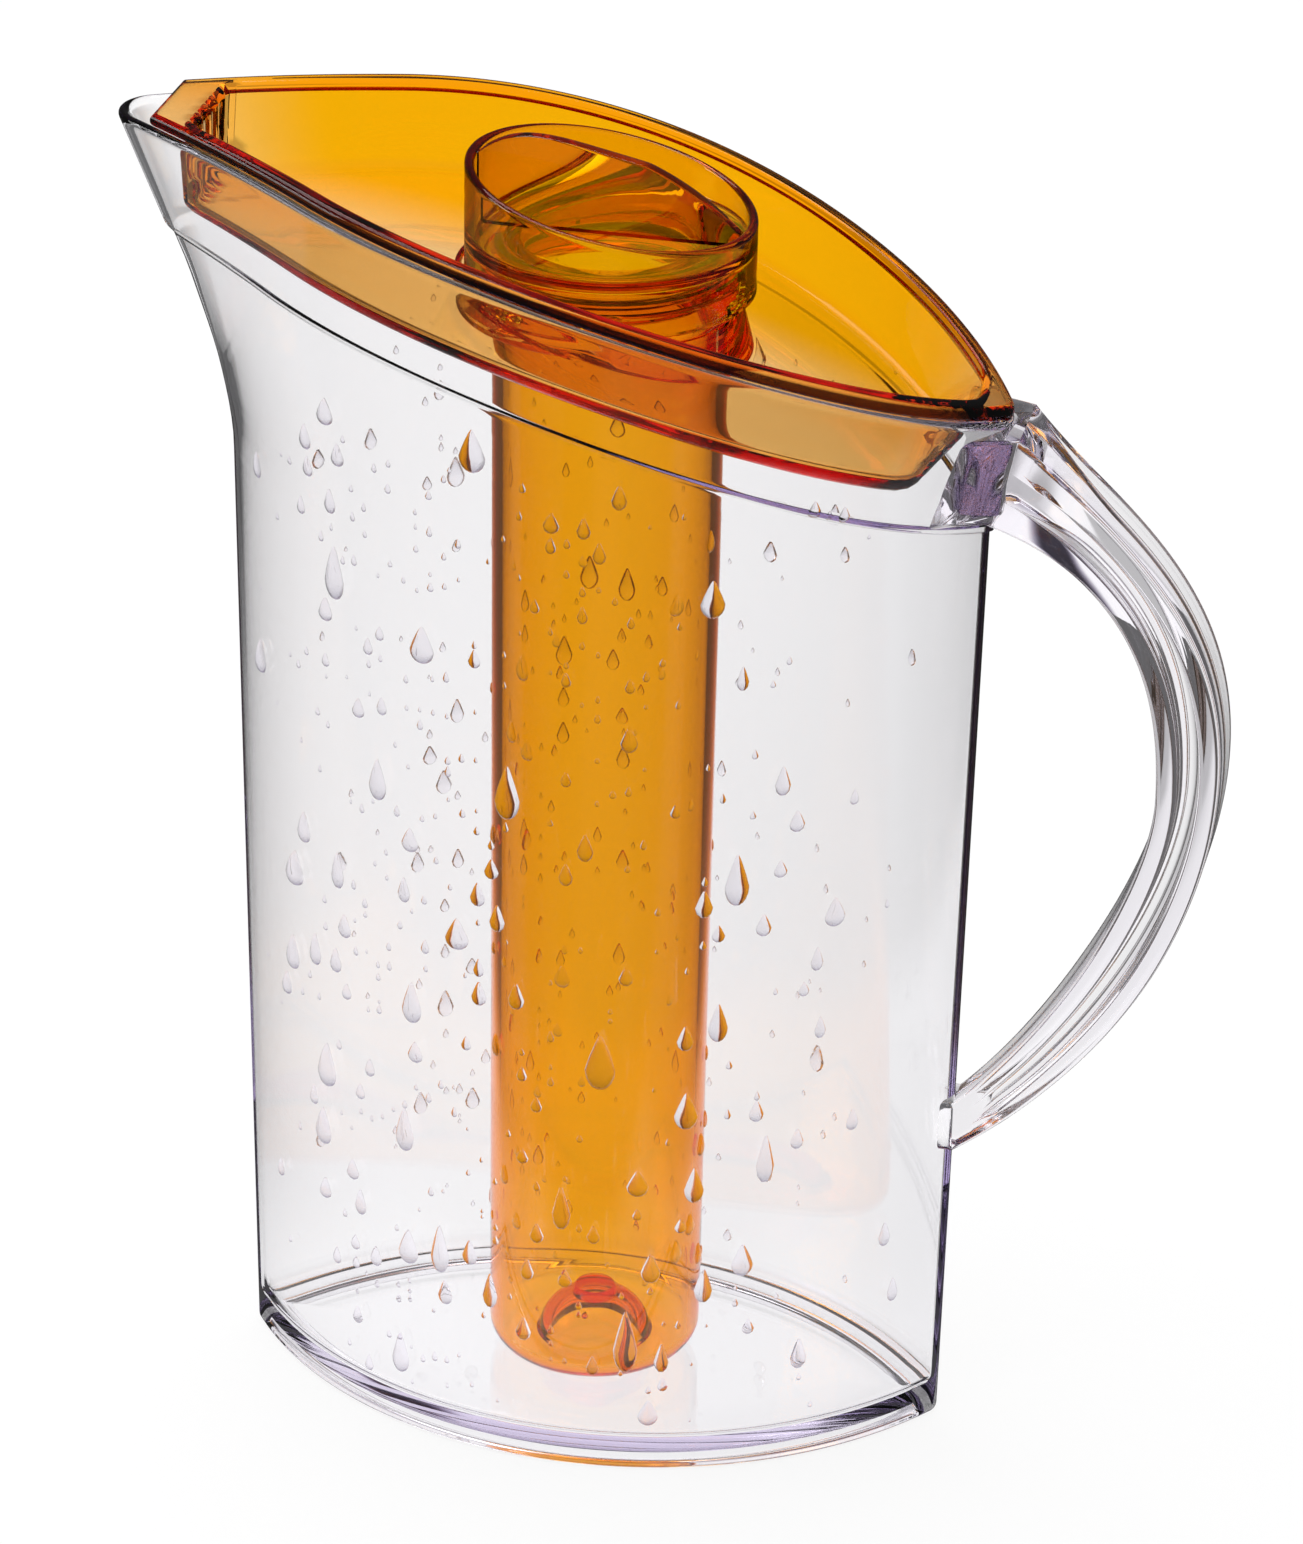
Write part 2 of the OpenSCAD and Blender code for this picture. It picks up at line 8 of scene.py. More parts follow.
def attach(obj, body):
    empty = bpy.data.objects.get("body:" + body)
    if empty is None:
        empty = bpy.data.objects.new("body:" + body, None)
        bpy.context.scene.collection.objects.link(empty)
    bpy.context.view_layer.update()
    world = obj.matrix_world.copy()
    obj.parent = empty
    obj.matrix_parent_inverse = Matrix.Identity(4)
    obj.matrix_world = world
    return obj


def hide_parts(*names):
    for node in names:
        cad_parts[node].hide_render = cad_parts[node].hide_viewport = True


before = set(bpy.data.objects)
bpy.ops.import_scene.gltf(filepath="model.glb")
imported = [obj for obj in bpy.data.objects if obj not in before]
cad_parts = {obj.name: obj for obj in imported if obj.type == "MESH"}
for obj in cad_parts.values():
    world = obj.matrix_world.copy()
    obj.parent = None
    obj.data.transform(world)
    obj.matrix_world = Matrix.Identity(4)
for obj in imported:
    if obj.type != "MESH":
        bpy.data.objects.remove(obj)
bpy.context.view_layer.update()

# ---------------------------------------------------------------- Camera
# The camera stands where the photographer's did: a long lens about 1.35 m away, a
# little to the right of the jug's front and looking down on it at 26 degrees.
view_az, view_el, view_roll = (math.radians(v) for v in (12.7, 26.3, 1.09))
right = Vector((math.cos(view_az), math.sin(view_az), 0))
back = Vector((math.sin(view_az) * math.cos(view_el), -math.cos(view_az) * math.cos(view_el),
               math.sin(view_el)))
up = back.cross(right)
right, up = (math.cos(view_roll) * right + math.sin(view_roll) * up,
             math.cos(view_roll) * up - math.sin(view_roll) * right)
camera = bpy.data.objects.new("camera", bpy.data.cameras.new("camera"))
bpy.context.scene.collection.objects.link(camera)
bpy.context.scene.camera = camera
camera.matrix_world = Matrix((right, up, back)).transposed().to_4x4()
camera.location = (0.261887, -1.115176, 0.713618)
camera.data.lens = 139.9
camera.data.clip_end = 20

# ---------------------------------------------------------------- Jug
# The jug is one moulding of clear styrene-acrylonitrile: a lens-shaped vessel with a
# thicker upper band, a flare into the spout and a foot ring under its floor. It is the
# biggest moulding, and its shape is lofted from level and tilted plan rings.
MM = 0.001
base_l, base_w = 157, 85.6
waist_l, top_l, top_w = 162.4, 174, 106.95
rim_h, rim_arc_r = 275, 430
rim_tilt = math.radians(15.5)
wall, corner_r, rim_corner_r, least_r = 2.7, 3.6, 7, 0.8
floor_z, foot_recess, foot_w, foot_r, floor_r = 6.8, 2.6, 4.4, 1.8, 3
band_h, band_step, step_h = 23, 1, 1.4
flare_z0, flare_z1 = 214, 252
spout_z0, spout_z1 = 232, 258
spout_lean, spout_r = 0.42, 9
flange_t, lid_seat = 2.9, 0.1
tilt_z = 149.9
rim_cx = -rim_arc_r * math.sin(rim_tilt)
rim_cz = rim_h - rim_arc_r * math.cos(rim_tilt)
rim_drop = flange_t + lid_seat
# Points along the handle's corner, the bowed side, the spout's wall and its tip, which
# together make up half of a plan ring
CORNER_N, SIDE_N, LINE_N, TIP_N = 10, 60, 12, 14
HALF_N = CORNER_N + SIDE_N + LINE_N + TIP_N
RING_N = 2 * HALF_N


def rim_z(x, drop):
    """Height of the arc of the rim, lowered by drop, at x."""
    return rim_cz + math.sqrt((rim_arc_r - drop) ** 2 - (x - rim_cx) ** 2)


def ease(t):
    """Smooth blend from 0 to 1."""
    t = min(1, max(0, t))
    return t * t * (3 - 2 * t)


def ramp(z, z0, z1):
    """Starts smoothly at z0 and goes on straight from z1."""
    if z <= z0:
        return 0
    return (z - z0) ** 2 / (2 * (z1 - z0)) if z < z1 else (z1 - z0) / 2 + z - z1


def half_w(z):
    return (base_w + (top_w - base_w) * z / rim_h) / 2


def half_l(z):
    flare = ease((z - flare_z0) / (flare_z1 - flare_z0))
    return (base_l + (waist_l - base_l) * min(z, flare_z0) / flare_z0 + (top_l - waist_l) * flare) / 2


def plan(z, d):
    """The plan's ring at height z, set in by d: the handle's corner is first, the spout halfway."""
    flare = ease((z - flare_z0) / (flare_z1 - flare_z0))
    corner = corner_r + (rim_corner_r - corner_r) * flare
    tip_round = corner + (spout_r - rim_corner_r) * ease((z - spout_z0) / (rim_h - spout_z0))
    side = (half_l(z) ** 2 + half_w(z) ** 2) / (2 * half_w(z))
    c = side - half_w(z)
    side -= d
    cr = max(corner - d, least_r)
    cx = math.sqrt((side - cr) ** 2 - c * c)
    a0 = math.atan2(c, cx)
    tr = max(tip_round - d, least_r)
    tip = math.sqrt((side - tr) ** 2 - c * c) + tr + spout_lean * ramp(z, spout_z0, spout_z1)
    apex = tip + tr
    for _ in range(6):
        g = math.asin(min(1, side / math.hypot(apex, c))) - math.atan(c / apex)
        apex = max(tip + tr * (1 / math.sin(g) - 1), math.sqrt(side * side - c * c))
    g = math.asin(min(1, side / math.hypot(apex, c))) - math.atan(c / apex)
    tx = -apex + tr / math.sin(g)
    start = (-side * math.sin(g), side * math.cos(g) - c)
    end = (tx - tr * math.sin(g), tr * math.cos(g))
    half = []
    for k in range(CORNER_N):
        t = a0 * k / CORNER_N
        half.append((cx + cr * math.cos(t), cr * math.sin(t)))
    for k in range(SIDE_N):
        t = a0 + (math.pi / 2 + g - a0) * k / SIDE_N
        half.append((side * math.cos(t), side * math.sin(t) - c))
    for k in range(LINE_N):
        f = k / LINE_N
        half.append((start[0] + (end[0] - start[0]) * f, start[1] + (end[1] - start[1]) * f))
    for k in range(TIP_N + 1):
        t = math.pi / 2 + g + (math.pi / 2 - g) * k / TIP_N
        half.append((tx + tr * math.cos(t), tr * math.sin(t)))
    return half + [(x, -y) for x, y in half[-2:0:-1]]


def ring_z(u, x):
    """Height at x of a ring: level up to u 1, the band's step at 2 and the rim at 3."""
    if u <= 1:
        return u * tilt_z
    step_z = rim_z(x, rim_drop + band_h)
    if u <= 2:
        return tilt_z + (u - 1) * (step_z - tilt_z)
    return step_z + (u - 2) * (rim_z(x, rim_drop) - step_z)


plan_memory = {}


def plan_at(z, d, j):
    """Point j of the plan's ring, between rings kept at every half millimetre."""
    low = math.floor(z * 2)
    f = z * 2 - low
    for key in ((low, d), (low + 1, d)):
        if key not in plan_memory:
            plan_memory[key] = plan(key[0] / 2, d)
    a, b = plan_memory[(low, d)][j], plan_memory[(low + 1, d)][j]
    return (a[0] + (b[0] - a[0]) * f, a[1] + (b[1] - a[1]) * f)


def ring(u, d):
    """A tilted ring of the jug, set in by d from its outer face."""
    points = []
    for j in range(RING_N):
        z = ring_z(u, 0)
        for _ in range(6):
            q = plan_at(z, d, j)
            z = ring_z(u, q[0])
        points.append((q[0], q[1], z))
    return points


def flat_ring(z, d):
    return [(x, y, z) for x, y in plan(z, d)]


def pole(points):
    """A ring shrunk to the middle of another, which closes a mesh there."""
    z = sum(p[2] for p in points) / len(points)
    return [(0, 0, z)] * len(points)


def deselect():
    if bpy.context.object and bpy.context.object.mode != "OBJECT":
        bpy.ops.object.mode_set(mode="OBJECT")
    bpy.ops.object.select_all(action="DESELECT")


def select_only(obj):
    deselect()
    bpy.context.view_layer.objects.active = obj
    obj.select_set(True)


def combine(obj, tool, operation, sharp):
    """Cuts the tool out of the object or joins it on, and removes the tool. sharp is the crease angle."""
    select_only(obj)
    step = obj.modifiers.new("combine", "BOOLEAN")
    step.operation, step.solver, step.object = operation, "EXACT", tool
    bpy.ops.object.modifier_apply(modifier=step.name)
    bpy.data.objects.remove(tool)
    bpy.ops.object.shade_smooth_by_angle(angle=math.radians(sharp))


def loft(name, rings, sharp=35):
    """A grid laid through the rings, given in mm, its seam and poles merged. sharp is the crease angle."""
    cols = len(rings[0])
    deselect()
    bpy.ops.mesh.primitive_grid_add(x_subdivisions=cols, y_subdivisions=len(rings) - 1, size=1)
    obj = bpy.context.object
    obj.name = obj.data.name = name
    for v in obj.data.vertices:
        row, col = divmod(v.index, cols + 1)
        v.co = Vector(rings[row][col % cols]) * MM
    bpy.ops.object.mode_set(mode="EDIT")
    bpy.ops.mesh.select_all(action="SELECT")
    bpy.ops.mesh.remove_doubles(threshold=1e-6)
    bpy.ops.mesh.dissolve_degenerate(threshold=1e-7)
    bpy.ops.mesh.normals_make_consistent(inside=False)
    bpy.ops.object.mode_set(mode="OBJECT")
    bpy.ops.object.shade_smooth_by_angle(angle=math.radians(sharp))
    return obj


def linear(code):
    """An sRGB hex colour as linear RGBA."""
    parts = [int(code[i:i + 2], 16) / 255 for i in (1, 3, 5)]
    return [p / 12.92 if p <= 0.04045 else ((p + 0.055) / 1.055) ** 2.4 for p in parts] + [1]


def add(tree, kind, links=(), **settings):
    """A node of that kind with its inputs set by name and linked from (input, output) pairs."""
    node = tree.nodes.new("ShaderNode" + kind)
    for key, value in settings.items():
        if hasattr(node, key):
            setattr(node, key, value)
        else:
            node.inputs[key.replace("_", " ")].default_value = value
    for key, source in links:
        tree.links.new(node.inputs[key], source)
    return node


def ranged(tree, value, low, high, start, end, smooth=True):
    """Goes from start to end while value goes from low to high."""
    node = add(tree, "MapRange", [("Value", value)], interpolation_type="SMOOTHSTEP" if smooth else "LINEAR")
    for key, limit in zip(("From Min", "From Max", "To Min", "To Max"), (low, high, start, end)):
        node.inputs[key].default_value = limit
    return node.outputs["Result"]


def calc(tree, operation, *values):
    """The result of a Math node; each value is a number or another node's output."""
    node = add(tree, "Math", operation=operation)
    for socket, value in zip(node.inputs, values):
        if isinstance(value, bpy.types.NodeSocket):
            tree.links.new(socket, value)
        else:
            socket.default_value = value
    return node.outputs[0]


def vector_calc(tree, operation, value, other=(0, 0, 0)):
    """The result of a VectorMath node, of another node's output and a fixed vector."""
    node = add(tree, "VectorMath", [(0, value)], operation=operation)
    node.inputs[1].default_value = other
    return node.outputs["Value" if operation in ("LENGTH", "DOT_PRODUCT") else "Vector"]


def noise(tree, size_mm, **settings):
    """Noise of that size, fixed to the object."""
    place = add(tree, "TexCoord").outputs["Object"]
    return add(tree, "TexNoise", [("Vector", place)], Scale=1 / (size_mm * MM), **settings).outputs["Fac"]


def new_material(name):
    material = bpy.data.materials.new(name)
    material.use_nodes = True
    material.node_tree.nodes.clear()
    return material, material.node_tree


def clear_material(name, ior, tint, density, wave_mm, wave_depth, rough, skin=(1, 1, 1, 1), far_painted_shade=None):
    """A see-through plastic. tint and density are those of the light it takes up on the way through,
    wave_mm and wave_depth the size and height in mm of the mould's slow waves, rough its two extremes,
    skin is the tint of its surface in front, and the last argument a deeper tint painted on behind as shade."""
    smear_mm, front_y, behind_y = 9, -20, 25
    material, tree = new_material(name)
    waves = noise(tree, wave_mm, Detail=1.5, Roughness=0.4)
    bump = add(tree, "Bump", [("Height", waves)], Strength=1, Distance=wave_depth * MM)
    shine = ranged(tree, noise(tree, smear_mm, Detail=3), 0.35, 0.7, *rough, smooth=False)
    shader = add(tree, "BsdfPrincipled", [("Roughness", shine), ("Normal", bump.outputs["Normal"])],
                 Base_Color=skin, Transmission_Weight=1, IOR=ior)
    # Behind, a deeper tint is painted onto the far half as shade, blended in along the object's depth
    if far_painted_shade:
        split = add(tree, "SeparateXYZ", [("Vector", add(tree, "TexCoord").outputs["Object"])])
        depth = ranged(tree, split.outputs["Y"], front_y * MM, behind_y * MM, 0, 1)
        shade = add(tree, "MixRGB", [("Fac", depth)], Color1=skin, Color2=far_painted_shade)
        tree.links.new(shader.inputs["Base Color"], shade.outputs["Color"])
    inside = add(tree, "VolumeAbsorption", Density=density, Color=tint)
    add(tree, "OutputMaterial", [("Surface", shader.outputs[0]), ("Volume", inside.outputs[0])])
    return material


# Clear plastic with the faint lavender cast that the photo shows in its thick edges;
# slow mould waves break up what is seen through it.
clear_plastic = clear_material("injection_moulded_clear_san", 1.53, (0.6, 0.48, 0.78, 1), 10, 34, 0.035,
                               (0.0, 0.035))


def arc(n, start=0, stop=90):
    """(sine, cosine) at n + 1 even steps between two angles in degrees."""
    turns = [math.radians(start + (stop - start) * i / n) for i in range(n + 1)]
    return [(math.sin(t), math.cos(t)) for t in turns]


step_share = step_h / (rim_z(0, rim_drop + band_h) - tilt_z)


def step_ring(h, d):
    """A ring near the band's step, h step heights over or under it."""
    return ring(2 + max(h, 0) * step_h / band_h + min(h, 0) * step_share, d)


lip_mid = (wall - 2 * band_step) / 2
lip_half = wall / 2
rows = []
foot_in = foot_r + foot_w
recess_d = foot_in + foot_recess / 2
# Extra rings at the edge and further in keep the flat middle of the floor flat
edge_hold, mid_hold = 1, 14
under = flat_ring(foot_recess, recess_d)
rows += [pole(under)] + [flat_ring(foot_recess, recess_d + hold) for hold in (mid_hold, edge_hold)]
# The foot ring's inner face, as heights and insets, turns softly from the recess to the table
rows += [flat_ring(z, d) for z, d in ((foot_recess - 0.3, recess_d - 0.5), (0.9, foot_in - 0.2),
                                      (0.25, foot_in - 1.3), (0, foot_in - 2.2))]
rows += [flat_ring(foot_r * (1 - c), foot_r * (1 - s)) for s, c in arc(6)]
rows += [ring(u, 0) for u in [0.04, 0.1, 0.2, 0.35, 0.5, 0.65, 0.8, 0.9, 1]]
rows += [ring(1 + i / 32, 0) for i in range(1, 31)]
# Heights and shares of the band's step, from the wall out to the band
step_turn = [(-1.5, 0), (-1.15, 0.02), (-0.9, 0.12), (-0.5, 0.5), (-0.1, 0.88), (0.15, 0.98), (0.5, 1)]
rows += [step_ring(h, -band_step * f) for h, f in step_turn]
rows += [ring(2 + f, -band_step) for f in (0.2, 0.4, 0.6, 0.8, 0.9)]
rows += [ring(3 - lip_half * (1 - s) / band_h, lip_mid - lip_half * c) for s, c in arc(12, 0, 180)]
inner = [ring(2 + f, wall - band_step) for f in (0.9, 0.8, 0.6, 0.4, 0.2)]
inner += [step_ring(h, wall - band_step * f) for h, f in reversed(step_turn)]
inner += [ring(1 + i / 32, wall) for i in range(30, 0, -1)]
inner += [ring(u, wall) for u in [1, 0.9, 0.8, 0.65, 0.5, 0.35, 0.2, 0.1]]
inner += [flat_ring(floor_z + floor_r * (1 - c), wall + floor_r * (1 - s)) for s, c in reversed(arc(6))]
inner += [flat_ring(floor_z, wall + floor_r + hold) for hold in (edge_hold, mid_hold)]
inner += [pole(inner[-1])]
jug = loft("jug_body", rows + inner)
jug.data.materials.append(clear_plastic)
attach(jug, "jug")
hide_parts("body_shell")

# ---------------------------------------------------------------- Handle
# The handle is a second clear moulding, an I-section bar swept along two curves. Its
# wide upper end and its pad-like foot wrap the jug's corner, where solvent bonds them.
handle_w, handle_web_w, handle_root_w, handle_foot_w = 17, 6, 27, 10
handle_x, handle_in_x, handle_mid_share = 132.4, 119.2, 0.575
handle_top_z, handle_root_z, handle_foot_z, handle_crotch_z = 238, 219.5, 68.5, 80.5
handle_mid_z = handle_foot_z + handle_mid_share * (handle_top_z - handle_foot_z)
bond = 0.1
flange_inset = 0.7
flange_share = 0.34
handle_lap = handle_root_w / 2
# How much the upper end flares to each side, and over what height that begins
handle_flare, handle_flare_rise = 8, 20


def bezier(a, b, c, d, t):
    weights = ((1 - t) ** 3, 3 * (1 - t) ** 2 * t, 3 * (1 - t) * t * t, t ** 3)
    return tuple(sum(w * p[i] for w, p in zip(weights, (a, b, c, d))) for i in (0, 1))


def handle_curve(t, top, mid, low, top_share, bend_share, low_share, drop_share):
    """A face of the handle seen from the side: the upper arc for t 0 to 1, the lower one on to 2."""
    if t < 1:
        bend = (top[0] + (mid[0] - top[0]) * top_share[0], top[1] - (top[1] - mid[1]) * top_share[1])
        return bezier(top, bend, (mid[0], mid[1] + (top[1] - mid[1]) * bend_share), mid, t)
    bend = (low[0] + (mid[0] - low[0]) * low_share[0], low[1] + (mid[1] - low[1]) * low_share[1])
    return bezier(mid, (mid[0], mid[1] - (mid[1] - low[1]) * drop_share), bend, low, t - 1)


def handle_out(t):
    ends = ((half_l(flare_z1) + flange_inset, handle_top_z), (handle_x, handle_mid_z),
            (half_l(handle_foot_z), handle_foot_z))
    return handle_curve(t, *ends, (0.44, 0.27), 0.52, (0.55, 0.21), 0.39)


def handle_in(t):
    mid_z = handle_mid_z - (handle_x - handle_in_x) / 2
    ends = ((half_l(handle_root_z), handle_root_z), (handle_in_x, mid_z),
            (half_l(handle_foot_z), handle_crotch_z))
    return handle_curve(t, *ends, (0.64, 0.19), 0.57, (0.56, 0.29), 0.23)


def handle_half_w(x, z):
    """Half the handle's width: narrow at the foot, wide where the upper end meets the jug."""
    bend_z = (handle_crotch_z + handle_mid_z) / 2
    widening = ease((z - handle_crotch_z) / (bend_z - handle_crotch_z))
    narrow = (handle_foot_w + (handle_w - handle_foot_w) * widening) / 2
    if z < handle_mid_z:
        return narrow
    end_x = half_l(flare_z1) + flange_inset - handle_lap
    t = 1 - (x - end_x) / (handle_lap + (2 * handle_web_w + handle_w) / 2)
    return narrow + handle_flare * max(0, t) ** 2 * ease((z - handle_mid_z) / handle_flare_rise)


# The groove beside the web: where it begins, how long that takes, and the same at its end
groove_from, groove_in, groove_to, groove_out = 0.02, 0.3, 1.95, 0.07
lap_t = 0.2
HANDLE_N = 60


def handle_section(t, edge_r=1.3, fillet_r=1.4):
    """The I-section at t, as a closed ring. The groove beside the web runs out at both of its ends."""
    if t < 0 or t > 2:
        end = 0 if t < 0 else 2
        out, inn = handle_out(end), handle_in(end)
        shift = handle_lap * (abs(t - end) / lap_t)
        out, inn = (out[0] - shift, out[1]), (inn[0] - shift, inn[1])
    else:
        out, inn = handle_out(t), handle_in(t)
    depth = math.dist(out, inn)
    groove = ease((t - groove_from) / groove_in) * ease((groove_to - t) / groove_out)
    e, f = edge_r / depth, fillet_r / depth * groove
    half = [(0, 0), (0, 0.5)]
    half += [(e * (1 - c), 1, -edge_r * (1 - s)) for s, c in arc(4)]
    half += [(flange_share - e * groove * (1 - s), 1, -edge_r * groove * (1 - c)) for s, c in arc(4)]
    half += [(flange_share + f * (1 - c), None, fillet_r * groove * (1 - s)) for s, c in arc(4)]
    half = half + [(1 - p[0],) + tuple(p[1:]) for p in reversed(half)]
    points = []
    for share, w_share, *inset in half:
        x, z = out[0] + (inn[0] - out[0]) * share, out[1] + (inn[1] - out[1]) * share
        w = handle_half_w(x, z)
        if w_share is None:
            w = w + (handle_web_w / 2 - w) * groove
        else:
            w *= w_share
        points.append((x, w + (inset[0] if inset else 0), z))
    return points + [(x, -y, z) for x, y, z in reversed(points)]


steps = [-lap_t, -lap_t / 2] + [i / HANDLE_N for i in range(2 * HANDLE_N + 1)] + [2 + lap_t / 2, 2 + lap_t]
sections = [handle_section(t) for t in steps]


def middle(points):
    count = len(points)
    return [tuple(sum(p[i] for p in points) / count for i in (0, 1, 2))] * count


handle = loft("handle_bar", [middle(sections[0])] + sections + [middle(sections[-1])], 40)
# The jug's corner, grown by the film of solvent, is cut out of the handle's ends
levels = [0.3, 0.45, 0.5, 0.55, 0.6, 0.8, 1] + [1 + i / 16 for i in range(1, 16)]
cutter_rows = [ring(u, -bond) for u in levels]
cutter_rows += [step_ring(h, -band_step * f - bond) for h, f in step_turn]
cutter_rows += [ring(2.5, -band_step - bond), ring(3, -band_step - bond)]
cutter = loft("handle_cutter", [middle(cutter_rows[0])] + cutter_rows + [middle(cutter_rows[-1])])
combine(handle, cutter, "DIFFERENCE", 30)
# The handle's moulding is the same plastic, polished a little less evenly
handle.data.materials.append(clear_material(
    "injection_moulded_clear_san_bar", 1.53, (0.6, 0.42, 0.8, 1), 7, 22, 0.02, (0.0, 0.05)))
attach(handle, "jug")
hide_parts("handle")

# ---------------------------------------------------------------- Lid
# The lid is one orange see-through moulding. Its flange lies on the jug's rim, its
# dished basin hangs inside, and a pocket and neck in the basin carry the core.
basin_d, lid_wall, lid_gap = 18.6, 2, 0.5
flange_end_x, basin_end_x = 94.4, 87
neck_r, neck_out_r, neck_z = 24.4, 26.4, 262
pocket_r, pocket_out_r, pocket_z = 30.6, 31.6, 255.4
basin_out = wall - band_step + lid_gap
FLUTES, flute_share, flute_depth = 5, 0.94, 1.7
# Where the basin's corner at the handle lies, how it leans in with depth and how softly it turns
basin_corner_x, basin_lean, basin_soft = 80, 0.72, 3


def end_cut(points, end_x, flute=0):
    """The ring with its spout end cut off straight at end_x, spread evenly over the cut and fluted."""
    half = points[:HALF_N + 1]
    first = next(i for i, p in enumerate(half) if p[0] < -end_x)
    a, b = half[first - 1], half[first]
    f = (-end_x - a[0]) / (b[0] - a[0])
    width = a[1] + (b[1] - a[1]) * f
    for i in range(first, HALF_N + 1):
        y = width * (HALF_N - i) / (HALF_N - first)
        phase = (y / (width * flute_share)) * FLUTES / 2 + 0.5 * (FLUTES % 2)
        lobe = 2 * abs(phase - math.floor(phase + 0.5))
        bulge = flute * math.sqrt(max(0, 1 - (1 - lobe) ** 2)) if y < width * flute_share else 0
        half[i] = (-end_x - bulge, y, half[i][2])
    return half + [(x, -y, z) for x, y, z in half[-2:0:-1]]


def on_arc(points, drop):
    """The ring laid on the arc of the rim, lowered by drop."""
    return [(x, y, rim_z(x, drop)) for x, y, z in points]


def basin_ring(drop, d, end_x, flute=0):
    """A ring of the basin at a depth below the flange's top, following the jug's flare."""
    turn_x = basin_corner_x - d - basin_lean * drop
    points = []
    for x, y, z in end_cut(ring(3 - (drop - rim_drop) / band_h, d), end_x - flute_depth, flute):
        if x >= turn_x:
            x = turn_x + basin_soft * math.tanh((x - turn_x) / basin_soft)
        points.append((x, y, z))
    return on_arc(points, drop)


def circle_like(points, r, z=None, drop=None):
    """A circle round the tube's axis with its points at the same bearings as another ring's."""
    out = []
    for x, y, _ in points:
        length = math.hypot(x, y)
        cx, cy = x / length * r, y / length * r
        out.append((cx, cy, z if z is not None else rim_z(cx, drop)))
    return out


def between(a, b, f):
    return [tuple(p + (q - p) * f for p, q in zip(u, v)) for u, v in zip(a, b)]


# Roundings of the basin: inside its floor, outside it, at its upper lip and at the flange's edge
basin_in_r, basin_out_r, basin_lip, edge_round = 2.5, 3, 1.2, 1.4
floor_in = basin_ring(basin_d, basin_out + lid_wall + basin_in_r, basin_end_x - lid_wall - basin_in_r)
floor_out = basin_ring(basin_d + lid_wall, basin_out + basin_out_r, basin_end_x - basin_out_r)
low_z = pocket_z - 1.4


def neck_end(r, below):
    """A ring of the neck's lower end, which follows the basin's underside."""
    circle = circle_like(floor_in, r, 0)
    return [(x, y, min(low_z, rim_z(x, basin_d + lid_wall)) - below) for x, y, _ in circle]


# Steps out and down over the neck's upper edge, and out and up over the pocket's fillet
neck_edge, pocket_fillet = ((0, 0.4), (0.1, 0.1), (0.4, 0)), ((0, 0.8), (0.3, 0.2), (0.9, 0))
pocket_turn = 0.9
rows = [neck_end(neck_r, 0.8), circle_like(floor_in, neck_r, (neck_z + low_z) / 2)]
rows += [circle_like(floor_in, neck_r + d, neck_z - h) for d, h in neck_edge]
rows += [circle_like(floor_in, neck_out_r - d, neck_z - h) for d, h in reversed(neck_edge)]
rows += [circle_like(floor_in, neck_out_r + d, pocket_z + h) for d, h in pocket_fillet]
# The pocket's floor follows the basin's floor where that lies lower than the pocket
for d, h in ((pocket_turn, 0), (0, pocket_turn)):
    pocket_low = circle_like(floor_in, pocket_r - d, pocket_z + h)
    rows += [[(x, y, min(z, rim_z(x, basin_d))) for x, y, z in pocket_low]]
pocket_top = circle_like(floor_in, pocket_r, drop=basin_d)
rows += [between(rows[-1], pocket_top, 0.9), circle_like(floor_in, pocket_r + 0.3, drop=basin_d)]
inner_floor = circle_like(floor_in, pocket_r + 1, drop=basin_d)
rows += [inner_floor]
rows += [on_arc(between(inner_floor, floor_in, f), basin_d) for f in (0.25, 0.5, 0.75)]
basin_in, basin_in_x = basin_out + lid_wall, basin_end_x - lid_wall
rows += [basin_ring(basin_d - basin_in_r * (1 - c), basin_in + basin_in_r * (1 - s),
                    basin_in_x - basin_in_r * (1 - s), flute_depth * s) for s, c in arc(6)]
rows += [basin_ring(drop, basin_in, basin_in_x, flute_depth) for drop in (13, 10, 7.5, 5, 3, 1.4)]
rows += [basin_ring(basin_lip * (1 - s), basin_in - basin_lip * (1 - c), basin_in_x + basin_lip * (1 - c),
                    flute_depth) for s, c in arc(4)]


def flange_ring(drop, inset):
    """A ring of the flange's edge: the rim's plan, set in and cut straight at the spout."""
    return on_arc(end_cut(ring(3, flange_inset - band_step + inset), flange_end_x - inset), drop)


rows += [on_arc(between(rows[-1], flange_ring(0, edge_round), f), 0) for f in (0.33, 0.66)]
rows += [flange_ring(edge_round * (1 - s), edge_round * (1 - c)) for s, c in reversed(arc(5))]
rows += [flange_ring(flange_t - edge_round * (1 - s), edge_round * (1 - c)) for s, c in arc(5)]
skirt_top = basin_ring(flange_t, basin_out, basin_end_x, flute_depth)
rows += [on_arc(between(flange_ring(flange_t, edge_round), skirt_top, f), flange_t) for f in (0.5, 0.98)]
rows += [basin_ring(drop, basin_out, basin_end_x, flute_depth) for drop in (3.2, 5, 7.5, 10, 13, 16)]
rows += [basin_ring(basin_d + lid_wall - basin_out_r * (1 - s), basin_out + basin_out_r * (1 - c),
                    basin_end_x - basin_out_r * (1 - c), flute_depth * c) for s, c in arc(6)]
pocket_foot = circle_like(floor_in, pocket_out_r + 0.6, drop=basin_d + lid_wall)
rows += [on_arc(between(floor_out, pocket_foot, f), basin_d + lid_wall) for f in (0.25, 0.5, 0.75, 1)]


def under_pocket(r, z):
    """A ring under the pocket, kept under the basin's own lower face."""
    return [(x, y, min(z, rim_z(x, basin_d + lid_wall) - 0.01)) for x, y, _ in circle_like(floor_in, r, z)]


